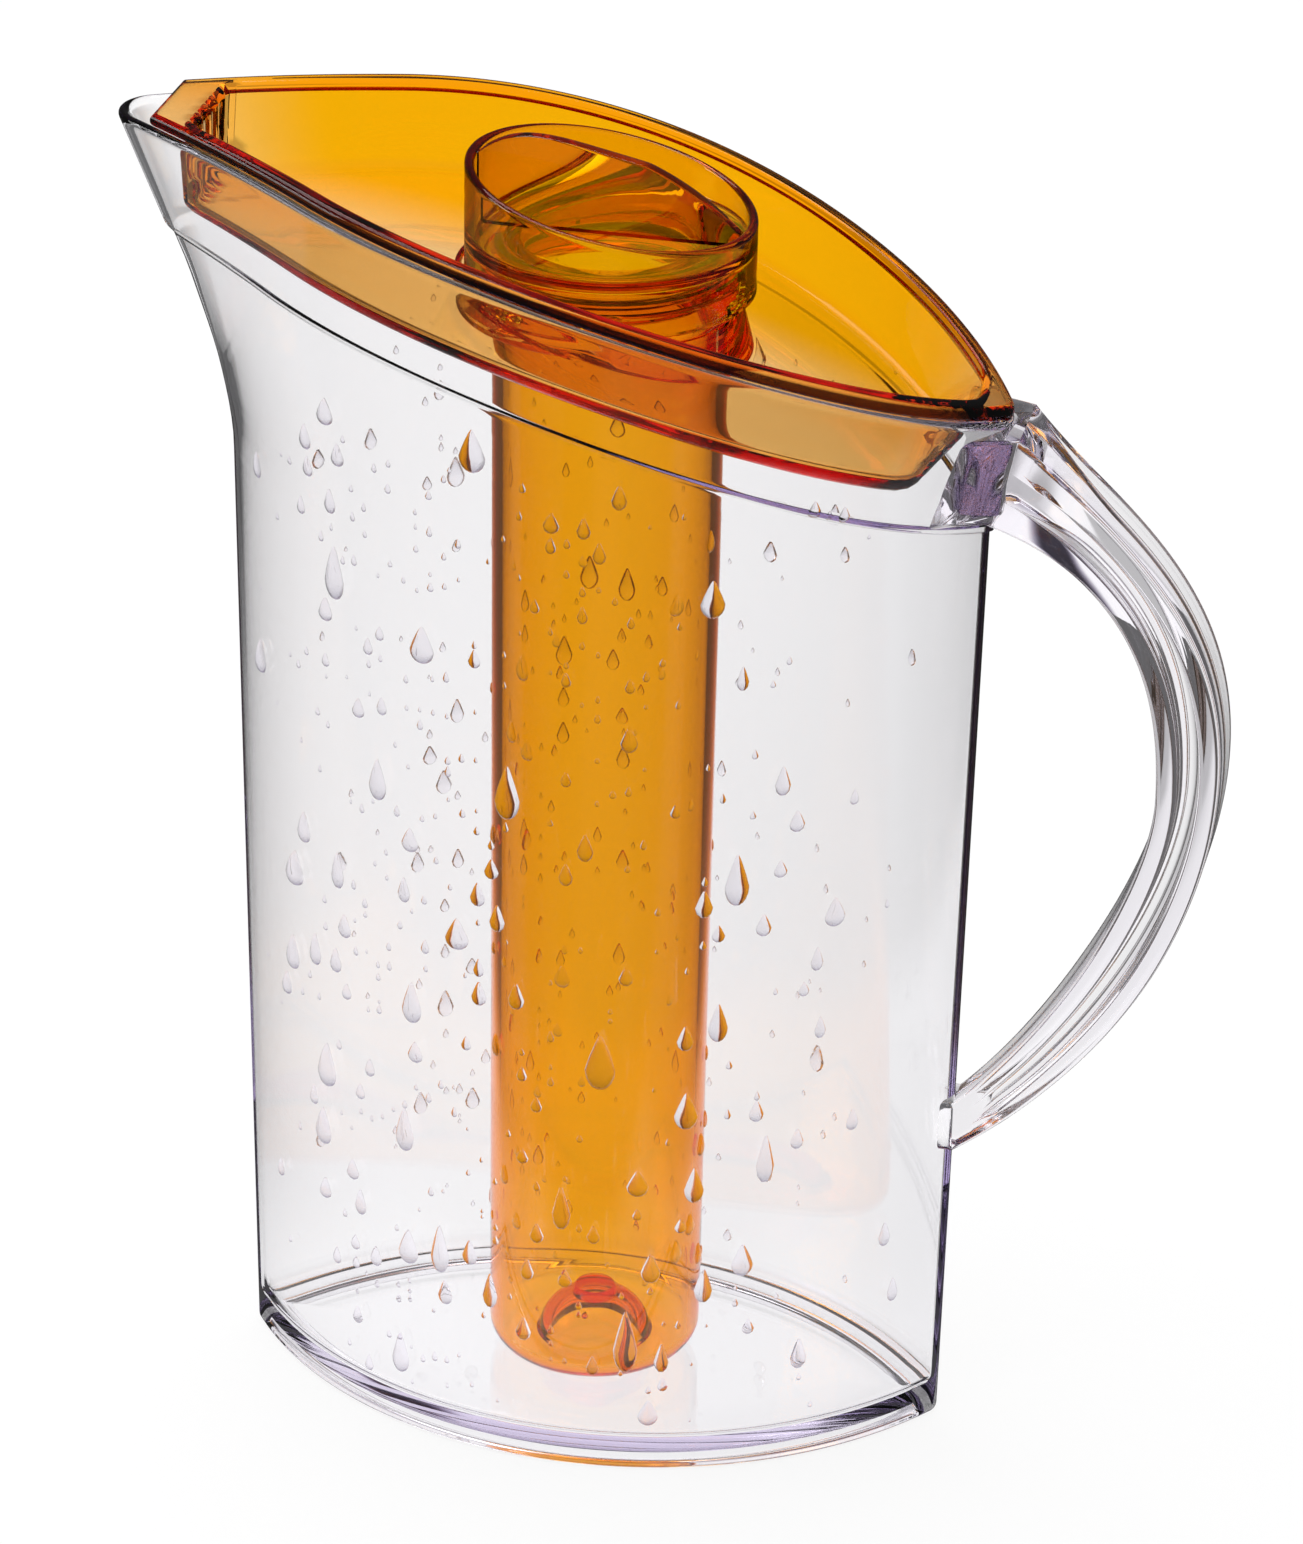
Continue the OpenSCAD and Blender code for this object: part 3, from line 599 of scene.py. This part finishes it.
rows += [under_pocket(pocket_out_r, low_z + 3), under_pocket(pocket_out_r, low_z + 1.3)]
rows += [under_pocket(pocket_out_r - 1.3 * (1 - c), low_z + 1.3 * (1 - s)) for s, c in arc(4)]
rows += [under_pocket(neck_out_r + 0.6, low_z), neck_end(neck_out_r, 0.3), neck_end(neck_out_r, 0.8),
         neck_end(neck_out_r - 0.4, 1.2), neck_end(neck_r + 0.4, 1.2)]
rows += [rows[0]]
lid = loft("lid_moulding", rows, 32)
# Orange tint that lets red through, dims green over a few millimetres and stops blue; its far half also gets
# a deeper orange painted on as shade
lid_plastic = clear_material("injection_moulded_orange_san_lid", 1.49, (0.98, 0.67, 0.0, 1), 420,
                             26, 0.03, (0.0, 0.02), far_painted_shade=(1, 0.62, 0.005, 1))
# Light that reaches the flange's near edge has come lengthwise through the whole flange,
# so the upright part of the edge near the front is painted nearly black as shade
tree = lid_plastic.node_tree
place = add(tree, "TexCoord").outputs["Object"]
from_centre = vector_calc(tree, "SUBTRACT", place, (rim_cx * MM, 0, rim_cz * MM))
radius = vector_calc(tree, "LENGTH", vector_calc(tree, "MULTIPLY", from_centre, (1, 0, 1)))
flange_low_r = rim_arc_r - flange_t
in_flange = ranged(tree, radius, (flange_low_r - 0.05) * MM, (flange_low_r + 0.1) * MM, 0, 1, smooth=False)
facing = add(tree, "NewGeometry")
lean = add(tree, "SeparateXYZ", [("Vector", facing.outputs["Normal"])])
upright = ranged(tree, calc(tree, "ABSOLUTE", lean.outputs["Z"]), 0.5, 0.75, 1, 0, smooth=False)
side = add(tree, "SeparateXYZ", [("Vector", place)])
near = ranged(tree, side.outputs["Y"], -10 * MM, 10 * MM, 1, 0, smooth=False)
painted_edge_shade = calc(tree, "MULTIPLY", calc(tree, "MULTIPLY", in_flange, upright), near)
shader = next(n for n in tree.nodes if n.type == "BSDF_PRINCIPLED")
tint_with_far_shade = shader.inputs["Base Color"].links[0].from_socket
# A nearly black painted shade line on the flange's near upright edge
shade = add(tree, "MixRGB", [("Fac", painted_edge_shade), ("Color1", tint_with_far_shade)], Color2=linear("#1c0a04"))
tree.links.new(shader.inputs["Base Color"], shade.outputs["Color"])
lid.data.materials.append(lid_plastic)
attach(lid, "lid")
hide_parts("lid")

# ---------------------------------------------------------------- Core tube
# The ice tube is a long orange beaker, slightly drafted and rounded at its lower end,
# with a hollow boss rising from its floor and a flange whose three lugs lock in the neck.
tube_r, tube_draft, tube_wall, tube_z, tube_edge_r = 24.05, 0.95, 2.2, 8.6, 6
boss_r, boss_top_r, boss_h = 12.2, 4.6, 11
lug_t, lug_out, lug_arc = 2.2, 1.2, 26
run_gap = 0.3
tube_top_z = 267.7
TURN_N = 180


def turned(profile, bump=None):
    """Rings of a profile of (radius, height) points turned round the tube's axis."""
    rings = []
    for i, (r, z) in enumerate(profile):
        points = []
        for k in range(TURN_N):
            t = 2 * math.pi * k / TURN_N
            dr, dz = bump(i, t, r, z) if bump else (0, 0)
            points.append(((r + dr) * math.cos(t), (r + dr) * math.sin(t), z + dz))
        rings.append(points)
    return rings


tube_low_r = tube_r - tube_draft
tube_floor_z = tube_z + tube_wall
bore_r = tube_r - tube_wall
in_r = tube_edge_r - tube_wall
side_z = tube_z + tube_edge_r
flange_z = neck_z + run_gap
boss_in_r, dome_h = boss_r - tube_wall, boss_h - 1.4
profile = [(0, tube_z + dome_h)]
profile += [(boss_in_r * c, tube_z + dome_h * s) for s, c in reversed(arc(9, 5, 84))]
profile += [(boss_in_r + 0.4, tube_z), (tube_low_r - tube_edge_r - 2, tube_z)]
profile += [(tube_low_r - tube_edge_r * (1 - s), side_z - tube_edge_r * c) for s, c in arc(10)]
profile += [(tube_low_r + tube_draft * f, side_z + (flange_z - side_z) * f)
            for f in (0.1, 0.3, 0.5, 0.7, 0.9, 0.96, 0.998)]
first_lug_row = len(profile)
lug_edge, lug_fillet, lip_r = 0.3, 0.2, 0.5
profile += [(tube_r + lug_fillet, flange_z), (neck_out_r - lug_edge, flange_z),
            (neck_out_r, flange_z + lug_edge), (neck_out_r, flange_z + lug_t - lug_edge),
            (neck_out_r - lug_edge, flange_z + lug_t), (tube_r + lug_fillet, flange_z + lug_t)]
last_lug_row = len(profile)
profile += [(tube_r, flange_z + lug_t + lug_fillet), (tube_r, tube_top_z - lip_r)]
profile += [(tube_r - lip_r * (1 - c), tube_top_z - lip_r * (1 - s)) for s, c in arc(3)]
profile += [(bore_r + lip_r * (1 - s), tube_top_z - lip_r * (1 - c)) for s, c in arc(3)]
profile += [(bore_r - tube_draft * f, tube_top_z + (side_z - tube_top_z) * f)
            for f in (0.04, 0.1, 0.3, 0.5, 0.7, 0.9)]
profile += [(tube_low_r - tube_wall - in_r * (1 - s), side_z - in_r * c) for s, c in reversed(arc(8))]
profile += [(boss_r + 0.6, tube_floor_z)]
profile += [(boss_r * c, tube_floor_z + dome_h * s) for s, c in arc(8, 4, 66)]
profile += [(boss_top_r, tube_floor_z + boss_h - 0.5), (boss_top_r - 0.4, tube_floor_z + boss_h),
            (0, tube_floor_z + boss_h)]


def lugs(i, t, r, z):
    """How far the three lugs stand out of the flange's edge."""
    if not first_lug_row < i < last_lug_row - 1:
        return 0, 0
    bearing = math.degrees(t) % 120
    inside = min(bearing, lug_arc - bearing)
    return lug_out * ease((inside + 1) / 2), 0


tube = loft("core_tube_beaker", turned(profile, lugs), 32)
# The same orange, a little deeper, since a thin wall has to show it
tube.data.materials.append(clear_material(
    "injection_moulded_orange_san_tube", 1.49, (0.994, 0.848, 0.0, 1), 1300, 30, 0.03, (0.0, 0.02)))
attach(tube, "core")
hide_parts("core_tube")

# ---------------------------------------------------------------- Cap
# The cap is a deep orange ring with a sunken floor; its rim slopes with the lid and an
# arched blade across the well is what fingers turn. A plug under it stops the tube.
cap_r, cap_wall, cap_z, cap_rim_z = 30, 2, 258.2, 280
cap_slope = 0.205
well_z, plate_z = 270, 268
blade_t, blade_arc_r, blade_z, blade_top_x = 3, 58, 289.8, 14
plug_r, plug_wall, plug_h = 21.45, 2.6, 9.5
groove_z, groove_r, groove_h = 263.25, 19.95, 1.9
rib_in_r, rib_t, rib_arc, rib_low_z, thread_lead = 26.7, 1.2, 70, 261.77, 15
cap_in_r = cap_r - cap_wall
plug_in_r, plug_low_z = plug_r - plug_wall, plate_z - plug_h
profile = [(0, plate_z), (plug_in_r - 1, plate_z), (plug_in_r - 0.3, plate_z - 0.1),
           (plug_in_r, plate_z - 0.6), (plug_in_r, plug_low_z + 0.3), (plug_in_r + 0.3, plug_low_z),
           (plug_r - 0.5, plug_low_z), (plug_r, plug_low_z + 0.5)]
profile += [(plug_r, groove_z - groove_h / 2), (groove_r, groove_z - groove_h / 2 + 0.05),
            (groove_r, groove_z + groove_h / 2 - 0.05), (plug_r, groove_z + groove_h / 2)]
profile += [(plug_r, plate_z - 0.5), (plug_r + 0.5, plate_z), (cap_in_r - 0.6, plate_z),
            (cap_in_r - 0.1, plate_z - 0.2)]
first_rib_row, RIB_ROWS, rib_row_h = len(profile), 30, 0.3
profile += [(cap_in_r, plate_z - 0.6 - i * rib_row_h) for i in range(RIB_ROWS)]
last_rib_row = len(profile)
profile += [(cap_in_r, cap_z + 0.4), (cap_in_r + 0.4, cap_z), (cap_r - 0.4, cap_z), (cap_r, cap_z + 0.4)]
profile += [(cap_r, z) for z in (260, 263, 266)]
first_rim_row = len(profile)
rim_steps = [0.1, 0.3, 0.5, 0.7, 0.85]
top = cap_rim_z
profile += [(cap_r, well_z + (top - well_z) * f) for f in rim_steps]
rim_r = cap_wall / 2
profile += [(cap_r - rim_r + rim_r * c, top - rim_r * (1 - s)) for s, c in arc(8, 0, 180)]
profile += [(cap_in_r, well_z + (top - well_z) * f) for f in (0.85, 0.7, 0.5, 0.3, 0.15)]
profile += [(cap_in_r - 0.8 * (1 - c), well_z + 0.8 * (1 - s)) for s, c in arc(4)]
profile += [(cap_in_r - 4, well_z), (0, well_z)]


def cap_shape(i, t, r, z):
    """The slope of the cap's rim, and the three thread ribs inside its skirt."""
    if i >= first_rim_row:
        share = min(1, max(0, (z - well_z) / (top - 1 - well_z)))
        return 0, -cap_slope * r * math.cos(t) * share
    if first_rib_row <= i < last_rib_row:
        bearing = (math.degrees(t) - lug_arc / 2 + rib_arc / 2) % 120
        if bearing <= rib_arc:
            low = rib_low_z - thread_lead * (rib_arc - bearing) / 360
            end = ease(min(bearing, rib_arc - bearing) / 4)
            inside = min(z - low, low + rib_t - z)
            return -(cap_in_r - rib_in_r) * end * ease((inside + 0.15) / 0.3), 0
    return 0, 0


cap = loft("core_cap_turned", turned(profile, cap_shape), 32)
# The blade is a slab with an arched top edge, welded into the well by the mould
blade_half = blade_t / 2
reach = cap_in_r + cap_wall / 2
shoulder_drop, shoulder_rise = 0.8, 8
blade_rows = []
for k in range(49):
    x = -reach + 2 * reach * k / 48
    top_z = blade_z - blade_arc_r + math.sqrt(blade_arc_r ** 2 - (x + blade_top_x) ** 2)
    # Its shoulders come down to just under the sloping rim
    shoulder_z = cap_rim_z - cap_slope * x - shoulder_drop
    top_z = min(top_z, shoulder_z + shoulder_rise * (1 - min(1, abs(x) / cap_in_r) ** 4))
    half = [(blade_half, well_z - 1), (blade_half, top_z - 0.6), (blade_half - 0.18, top_z - 0.18),
            (blade_half - 0.6, top_z)]
    blade_rows.append([(x, y, z) for y, z in half] + [(x, -y, z) for y, z in reversed(half)])
blade = loft("cap_blade", [middle(blade_rows[0])] + blade_rows + [middle(blade_rows[-1])], 32)
combine(cap, blade, "UNION", 32)
# A browner orange, as the cap's many walls lie behind each other
cap.data.materials.append(clear_material(
    "injection_moulded_orange_san_cap", 1.49, (0.973, 0.905, 0.0, 1), 1300, 18, 0.02, (0.0, 0.02)))
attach(cap, "cap")
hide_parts("core_cap")

# ---------------------------------------------------------------- Seal
# The seal is a moulded silicone ring in the plug's groove, and its CAD solid already
# has the real round section, so it is kept and only gets its finish.
silicone, tree = new_material("moulded_silicone_rubber")
grain = noise(tree, 0.6, Detail=4)
tone = add(tree, "MixRGB", [("Fac", grain)], Color1=linear("#b9a58c"), Color2=linear("#c9b79e"))
dust = ranged(tree, grain, 0, 1, 0.45, 0.65, smooth=False)
skin = add(tree, "Bump", [("Height", grain)], Strength=0.3, Distance=0.02 * MM)
soft = add(tree, "BsdfPrincipled", [("Base Color", tone.outputs["Color"]), ("Roughness", dust),
                                    ("Normal", skin.outputs["Normal"])])
add(tree, "OutputMaterial", [("Surface", soft.outputs[0])])
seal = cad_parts["cap_seal"]
seal.data.materials.clear()
seal.data.materials.append(silicone)

# ---------------------------------------------------------------- Drops
# Condensed water stands in tear-shaped drops on the jug's cold outside and, finer, on
# the tube. Each drop is a small dome of water whose back lies just inside the plastic.
water, tree = new_material("condensed_water")
ripple = noise(tree, 3, Detail=1)
bulge = add(tree, "Bump", [("Height", ripple)], Strength=0.4, Distance=0.05 * MM)
clean = ranged(tree, ripple, 0, 1, 0, 0.03, smooth=False)
# A drop's lower side is painted darker as shade, standing in for the dark table that it bends up to the eye
facing = add(tree, "NewGeometry")
tip = add(tree, "SeparateXYZ", [("Vector", facing.outputs["Normal"])])
drop_shade_fac = ranged(tree, tip.outputs["Z"], -0.85, 0.25, 0, 1)
shade = add(tree, "MixRGB", [("Fac", drop_shade_fac)], Color1=linear("#6f6684"), Color2=linear("#f4f0f8"))
wet = add(tree, "BsdfPrincipled", [("Roughness", clean), ("Normal", bulge.outputs["Normal"]),
                                   ("Base Color", shade.outputs["Color"])], Transmission_Weight=1, IOR=1.333)
add(tree, "OutputMaterial", [("Surface", wet.outputs[0])])
# Behind the drop the water wets the plastic, so its back neither bends nor mirrors light
contact, tree = new_material("water_wetting_the_plastic")
thin = ranged(tree, noise(tree, 3), 0, 1, 0, 0.01, smooth=False)
wet = add(tree, "BsdfPrincipled", [("Roughness", thin)], Base_Color=(1, 1, 1, 1), Transmission_Weight=1,
          IOR=1)
add(tree, "OutputMaterial", [("Surface", wet.outputs[0])])


# How a drop narrows towards its tip and how long the tip is, how deep its back lies in
# the plastic, and how far drops stay inside the jug's upper band
drop_taper, drop_tail, drop_sunk, band_clear = 0.62, 1.75, 0.06, 0.1


def drop_shape(rings_n, segments):
    """(across, up, out) points of a tear-shaped dome, ring by ring; its tip points up."""
    points = []
    for i in range(rings_n + 1):
        s, c = math.sin(math.pi / 2 * i / rings_n), math.cos(math.pi / 2 * i / rings_n)
        for k in range(segments):
            t = 2 * math.pi * k / segments
            across, along = math.cos(t) * c, math.sin(t) * c
            if along > 0:
                across *= 1 - drop_taper * along
                along *= drop_tail
            points.append((across, along, s))
    return points[:-segments] + [(0, 0.12, 1)]


def drops(name, places, host):
    """One mesh of the drops at places, each (point, normal, half width, dome height, stretch), in mm."""
    verts, faces, backs = [], [], []
    for point, normal, size, height, stretch in places:
        # No drop stands out further than the jug's upper band
        height = min(height, top_w / 2 + band_step - band_clear - abs(point.y))
        rings_n, segments = (6, 18) if size > 2 else (4, 10)
        upward = (Vector((0, 0, 1)) - normal * normal.z).normalized()
        across = upward.cross(normal)
        first = len(verts)
        shape = drop_shape(rings_n, segments)
        for a, b, c in shape:
            out = normal * (c * height - drop_sunk)
            verts.append((point + across * a * size + upward * b * size * stretch + out) * MM)
        for i in range(rings_n - 1):
            for k in range(segments):
                j, m = first + i * segments, (k + 1) % segments
                faces.append((j + k, j + m, j + segments + m, j + segments + k))
        j = first + (rings_n - 1) * segments
        faces += [(j + k, j + (k + 1) % segments, len(verts) - 1) for k in range(segments)]
        backs.append(len(faces))
        faces.append([first + k for k in reversed(range(segments))])
    mesh = bpy.data.meshes.new(name)
    mesh.from_pydata(verts, [], faces)
    obj = bpy.data.objects.new(name, mesh)
    bpy.context.scene.collection.objects.link(obj)
    select_only(obj)
    bpy.ops.object.mode_set(mode="EDIT")
    bpy.ops.mesh.select_all(action="SELECT")
    bpy.ops.mesh.normals_make_consistent(inside=False)
    bpy.ops.object.mode_set(mode="OBJECT")
    bpy.ops.object.shade_smooth_by_angle(angle=math.radians(60))
    obj.data.materials.append(water)
    obj.data.materials.append(contact)
    for i in backs:
        obj.data.polygons[i].material_index = 1
    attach(obj, host)
    return obj


def jug_place(bearing, z):
    """Point and outward normal of the jug's outer face at a bearing round the tube's axis."""
    points = plan(z, 0)
    turns = [math.remainder(math.atan2(y, x) - bearing, 2 * math.pi) for x, y in points]
    best = min(range(RING_N), key=lambda j: abs(turns[j]))
    a, b, c = points[best - 1], points[best], points[(best + 1) % RING_N]
    higher = plan(z + 1, 0)[best]
    tangent = Vector((c[0] - a[0], c[1] - a[1], 0)).normalized()
    rise = Vector((higher[0] - b[0], higher[1] - b[1], 1)).normalized()
    return Vector((b[0], b[1], z)), tangent.cross(rise).normalized()


# The bigger drops hang where the photo shows them: across and down its frame, in
# pixels, then half width in mm and how far they are drawn out
photo_w, photo_h, focal_px = 1303, 1544, 6000
SEEN = ((325, 415, 2.2, 1), (258, 468, 1.5, 1.5), (472, 457, 2.9, 1.2), (335, 580, 2.6, 1.7),
        (326, 612, 2, 1), (422, 650, 2.8, 1.1), (262, 660, 2.2, 1.3), (378, 785, 2.2, 1.6),
        (296, 872, 3, 1), (338, 875, 1.8, 1.8), (457, 938, 2.7, 1), (316, 953, 1.8, 1.6),
        (404, 893, 1.5, 1.5), (412, 1008, 2.4, 1.5), (328, 1070, 2.8, 1.4), (405, 1135, 2.3, 1.7),
        (361, 1205, 1.6, 1.5), (440, 1255, 2.2, 2), (507, 800, 2.7, 1.7), (497, 922, 1.7, 1.4),
        (585, 852, 1.7, 1.4), (516, 1000, 1.8, 1.3), (737, 887, 2.6, 1.7), (718, 1028, 2.1, 1.6),
        (686, 1116, 2.5, 1.3), (694, 1190, 2.1, 1.5), (600, 1070, 3.2, 1.5), (490, 1295, 1.7, 1.9),
        (527, 1272, 1.5, 1.3), (703, 1290, 2, 1.6), (742, 1264, 2.4, 1.2), (625, 1350, 2.6, 2.2),
        (661, 1362, 1.6, 1.7), (401, 1357, 2.2, 1.7), (561, 1214, 2, 2), (783, 785, 1.7, 1.5),
        (743, 682, 1.3, 1.6), (817, 962, 1.4, 1.5), (820, 1030, 1.3, 1.5), (852, 1122, 1.5, 1.3),
        (765, 1165, 2, 2.2), (798, 1357, 1.9, 1.5), (884, 1237, 1.5, 1.5), (892, 1292, 1.4, 1.6))
# Drops need this share of their half width as room, and some stand out this share of it
drop_room, drop_stand = 1.7, 0.65
dice = random.Random(8509)
places, taken = [], []
for across, down, size, stretch in SEEN:
    ray = (right * (across - photo_w / 2) - up * (down - photo_h / 2) - back * focal_px).normalized()
    hit, place, normal, _ = jug.ray_cast(camera.location, ray)
    if hit:
        taken.append((place / MM, size * drop_room))
        places.append((place / MM, normal, size, size * drop_stand, stretch))


def room_for(point, size):
    return all((point - p).length > size + s for p, s in taken)


# Most drops hang on the side towards the spout, fewer towards the handle
drops_x, drops_mode_x, drops_low_z, drops_high_z = 78, -45, 12, 236
for size_low, size_high, count in ((2, 2.6, 16), (1, 1.9, 130), (0.35, 0.8, 380)):
    made = 0
    for _ in range(count * 6):
        if made == count:
            break
        x = dice.triangular(-drops_x, drops_x, drops_mode_x)
        side = dice.choice((-1, -1, 1))
        z = dice.uniform(drops_low_z, drops_high_z)
        y = side * math.sqrt(max(1, half_w(z) ** 2 * (1 - (x / half_l(z)) ** 2)))
        point, normal = jug_place(math.atan2(y, x), z)
        size = dice.uniform(size_low, size_high)
        stretch = dice.uniform(1, 1.35)
        if room_for(point, size * drop_room):
            taken.append((point, size * drop_room))
            places.append((point, normal, size, size * dice.uniform(0.5, 0.75), stretch))
            made += 1
outer_drops = drops("water_drops_on_jug", places, "jug")

places, taken = [], []
tube_drops_low_z, tube_drops_high_z, tube_drop_stand = 24, 208, 0.45
for size_low, size_high, count in ((1.3, 1.9, 22), (0.5, 1.1, 70)):
    for _ in range(count):
        t, z = dice.uniform(0, 2 * math.pi), dice.uniform(tube_drops_low_z, tube_drops_high_z)
        r = tube_low_r + tube_draft * (z - side_z) / (flange_z - side_z)
        point, normal = Vector((r * math.cos(t), r * math.sin(t), z)), Vector((math.cos(t), math.sin(t), 0))
        size = dice.uniform(size_low, size_high)
        if room_for(point, size * drop_room):
            taken.append((point, size * drop_room))
            places.append((point, normal, size, size * tube_drop_stand, dice.uniform(1, 1.3)))
tube_drops = drops("water_drops_on_tube", places, "core")

# ---------------------------------------------------------------- Floor and light
# A wide pale floor and a pale studio round it. What is seen straight through the
# plastic is bright; light that the plastic bends aside or mirrors finds grey and dark
# cards beside and before the jug, which draw the edges. Places here are in metres.
deselect()
bpy.ops.mesh.primitive_plane_add(size=12)
floor = bpy.context.object
floor.name = "studio_floor"
paper, tree = new_material("white_studio_paper")
path = add(tree, "LightPath")
place = add(tree, "TexCoord").outputs["Object"]
tone = add(tree, "MixRGB", [("Fac", noise(tree, 10 / 3))], Color1=linear("#f7f7f7"), Color2=linear("#fafafa"))
matt = add(tree, "BsdfDiffuse", [("Color", tone.outputs["Color"])])
# Strengths: of the backdrop seen through the plastic, of the studio in mirrored light,
# and the share of the floor's plain white in the picture itself
BACKLIGHT, MIRRORED, WHITE_SHARE = 1.1, 0.06, 0.86


def aimed(tree, place, bearing, edges, levels):
    """A level that changes with the direction from the object, between two angles off bearing, in degrees."""
    level_way = vector_calc(tree, "NORMALIZE", vector_calc(tree, "MULTIPLY", place, (1, 1, 0)))
    aim = (math.cos(math.radians(bearing)), math.sin(math.radians(bearing)), 0)
    inner, outer = (math.cos(math.radians(e)) for e in edges)
    return ranged(tree, vector_calc(tree, "DOT_PRODUCT", level_way, aim), outer, inner, levels[1], levels[0])


# Seen through the plastic the backdrop falls off a little to the right
side = add(tree, "SeparateXYZ", [("Vector", place)])
fall = ranged(tree, side.outputs["X"], -0.15, 0.12, 0.97 * BACKLIGHT, 0.84 * BACKLIGHT)
# Light mirrored inside the plastic finds it dark in front of the jug, or the clear wall
# would lay it over the tube
once = calc(tree, "LESS_THAN", path.outputs["Glossy Depth"], 0.5)
nearby = calc(tree, "MAXIMUM", ranged(tree, side.outputs["Y"], -0.115, -0.07, 0.18, 1), once)
card = add(tree, "MixRGB", [("Fac", nearby)], Color1=linear("#ffd8b0"), Color2=(1, 1, 1, 1))
# Behind the jug grey cards lie on both sides of the strip that is seen straight through
# it, and give round plastic its dark outlines
aside = calc(tree, "ABSOLUTE", vector_calc(tree, "DOT_PRODUCT", place, (1, math.tan(view_az), 0)))
far = ranged(tree, side.outputs["Y"], 0.02, 0.12, 1, 0)
cards = calc(tree, "MAXIMUM", ranged(tree, aside, 0.145, 0.25, 1, 0.6), far)
# Mirrored light finds dark cards on both sides of the jug as well
wings = calc(tree, "MAXIMUM", ranged(tree, aside, 0.09, 0.15, 1, 0.25), once)
behind = fall
for level in (nearby, cards, wings):
    behind = calc(tree, "MULTIPLY", behind, level)
through = add(tree, "Emission", [("Strength", behind), ("Color", card.outputs["Color"])])
mirrored = add(tree, "Emission", Strength=MIRRORED)
lit = add(tree, "Emission", Strength=1)


def by_ray(tree, path, plain, mirrored, through):
    """What a ray finds: a refracted ray counts as glossy too, so transmission is asked for last."""
    glossy = add(tree, "MixShader", [("Fac", path.outputs["Is Glossy Ray"]), (1, plain.outputs[0]),
                                     (2, mirrored.outputs[0])])
    return add(tree, "MixShader", [("Fac", path.outputs["Is Transmission Ray"]), (1, glossy.outputs[0]),
                                   (2, through.outputs[0])])


glow = by_ray(tree, path, lit, mirrored, through)
share = calc(tree, "MULTIPLY_ADD", path.outputs["Is Camera Ray"], WHITE_SHARE,
             calc(tree, "MAXIMUM", path.outputs["Is Transmission Ray"], path.outputs["Is Glossy Ray"]))
sheet = add(tree, "MixShader", [("Fac", share), (1, matt.outputs[0]), (2, glow.outputs[0])])
add(tree, "OutputMaterial", [("Surface", sheet.outputs[0])])
floor.data.materials.append(paper)

world = bpy.data.worlds.new("studio")
bpy.context.scene.world = world
world.use_nodes = True
tree = world.node_tree
tree.nodes.clear()
path = add(tree, "LightPath")
place = add(tree, "TexCoord").outputs["Generated"]
height = add(tree, "SeparateXYZ", [("Vector", place)])
above = ranged(tree, height.outputs["Z"], 0.5, 0.85, 1, 0.55)
# The studio is dark on the camera's side in mirrored light, and behind a narrow flag
front = aimed(tree, place, -77.3, (40, 80), (0.22 * BACKLIGHT, BACKLIGHT))
once = calc(tree, "LESS_THAN", path.outputs["Glossy Depth"], 0.5)
front = calc(tree, "MAXIMUM", front, calc(tree, "MULTIPLY", once, 0.75))
flag = aimed(tree, place, 76, (5, 12), (0.05, 1))
levels = calc(tree, "MULTIPLY", calc(tree, "MULTIPLY", front, above), flag)
cast = add(tree, "MixRGB", [("Fac", levels)], Color1=linear("#dcd0f0"), Color2=(1, 1, 1, 1), use_clamp=True)
through = add(tree, "Background", [("Strength", levels), ("Color", cast.outputs["Color"])])
mirrored = add(tree, "Background", Strength=MIRRORED, Color=(1, 1, 1, 1))
plain = add(tree, "Background", Strength=1, Color=(1, 1, 1, 1))
studio = by_ray(tree, path, plain, mirrored, through)
add(tree, "OutputWorld", [("Surface", studio.outputs[0])])

for name, at, size, power in (("top_softbox", (-0.25, 0.2, 1.1), 0.7, 3),
                              ("side_softbox", (-1.1, -0.3, 0.7), 0.5, 2.5)):
    lamp = bpy.data.objects.new(name, bpy.data.lights.new(name, "AREA"))
    bpy.context.scene.collection.objects.link(lamp)
    lamp.data.size, lamp.data.energy = size, power
    lamp.location = at
    lamp.rotation_euler = (Vector((0, 0, 0.15)) - Vector(at)).to_track_quat("-Z", "Y").to_euler()

bpy.context.scene.view_settings.view_transform = "Standard"
# A thick clear floor passes light on by mirroring it inside, over and over
bpy.context.scene.cycles.glossy_bounces = 16
bpy.context.scene.cycles.transmission_bounces = 24
bpy.context.scene.cycles.max_bounces = 32
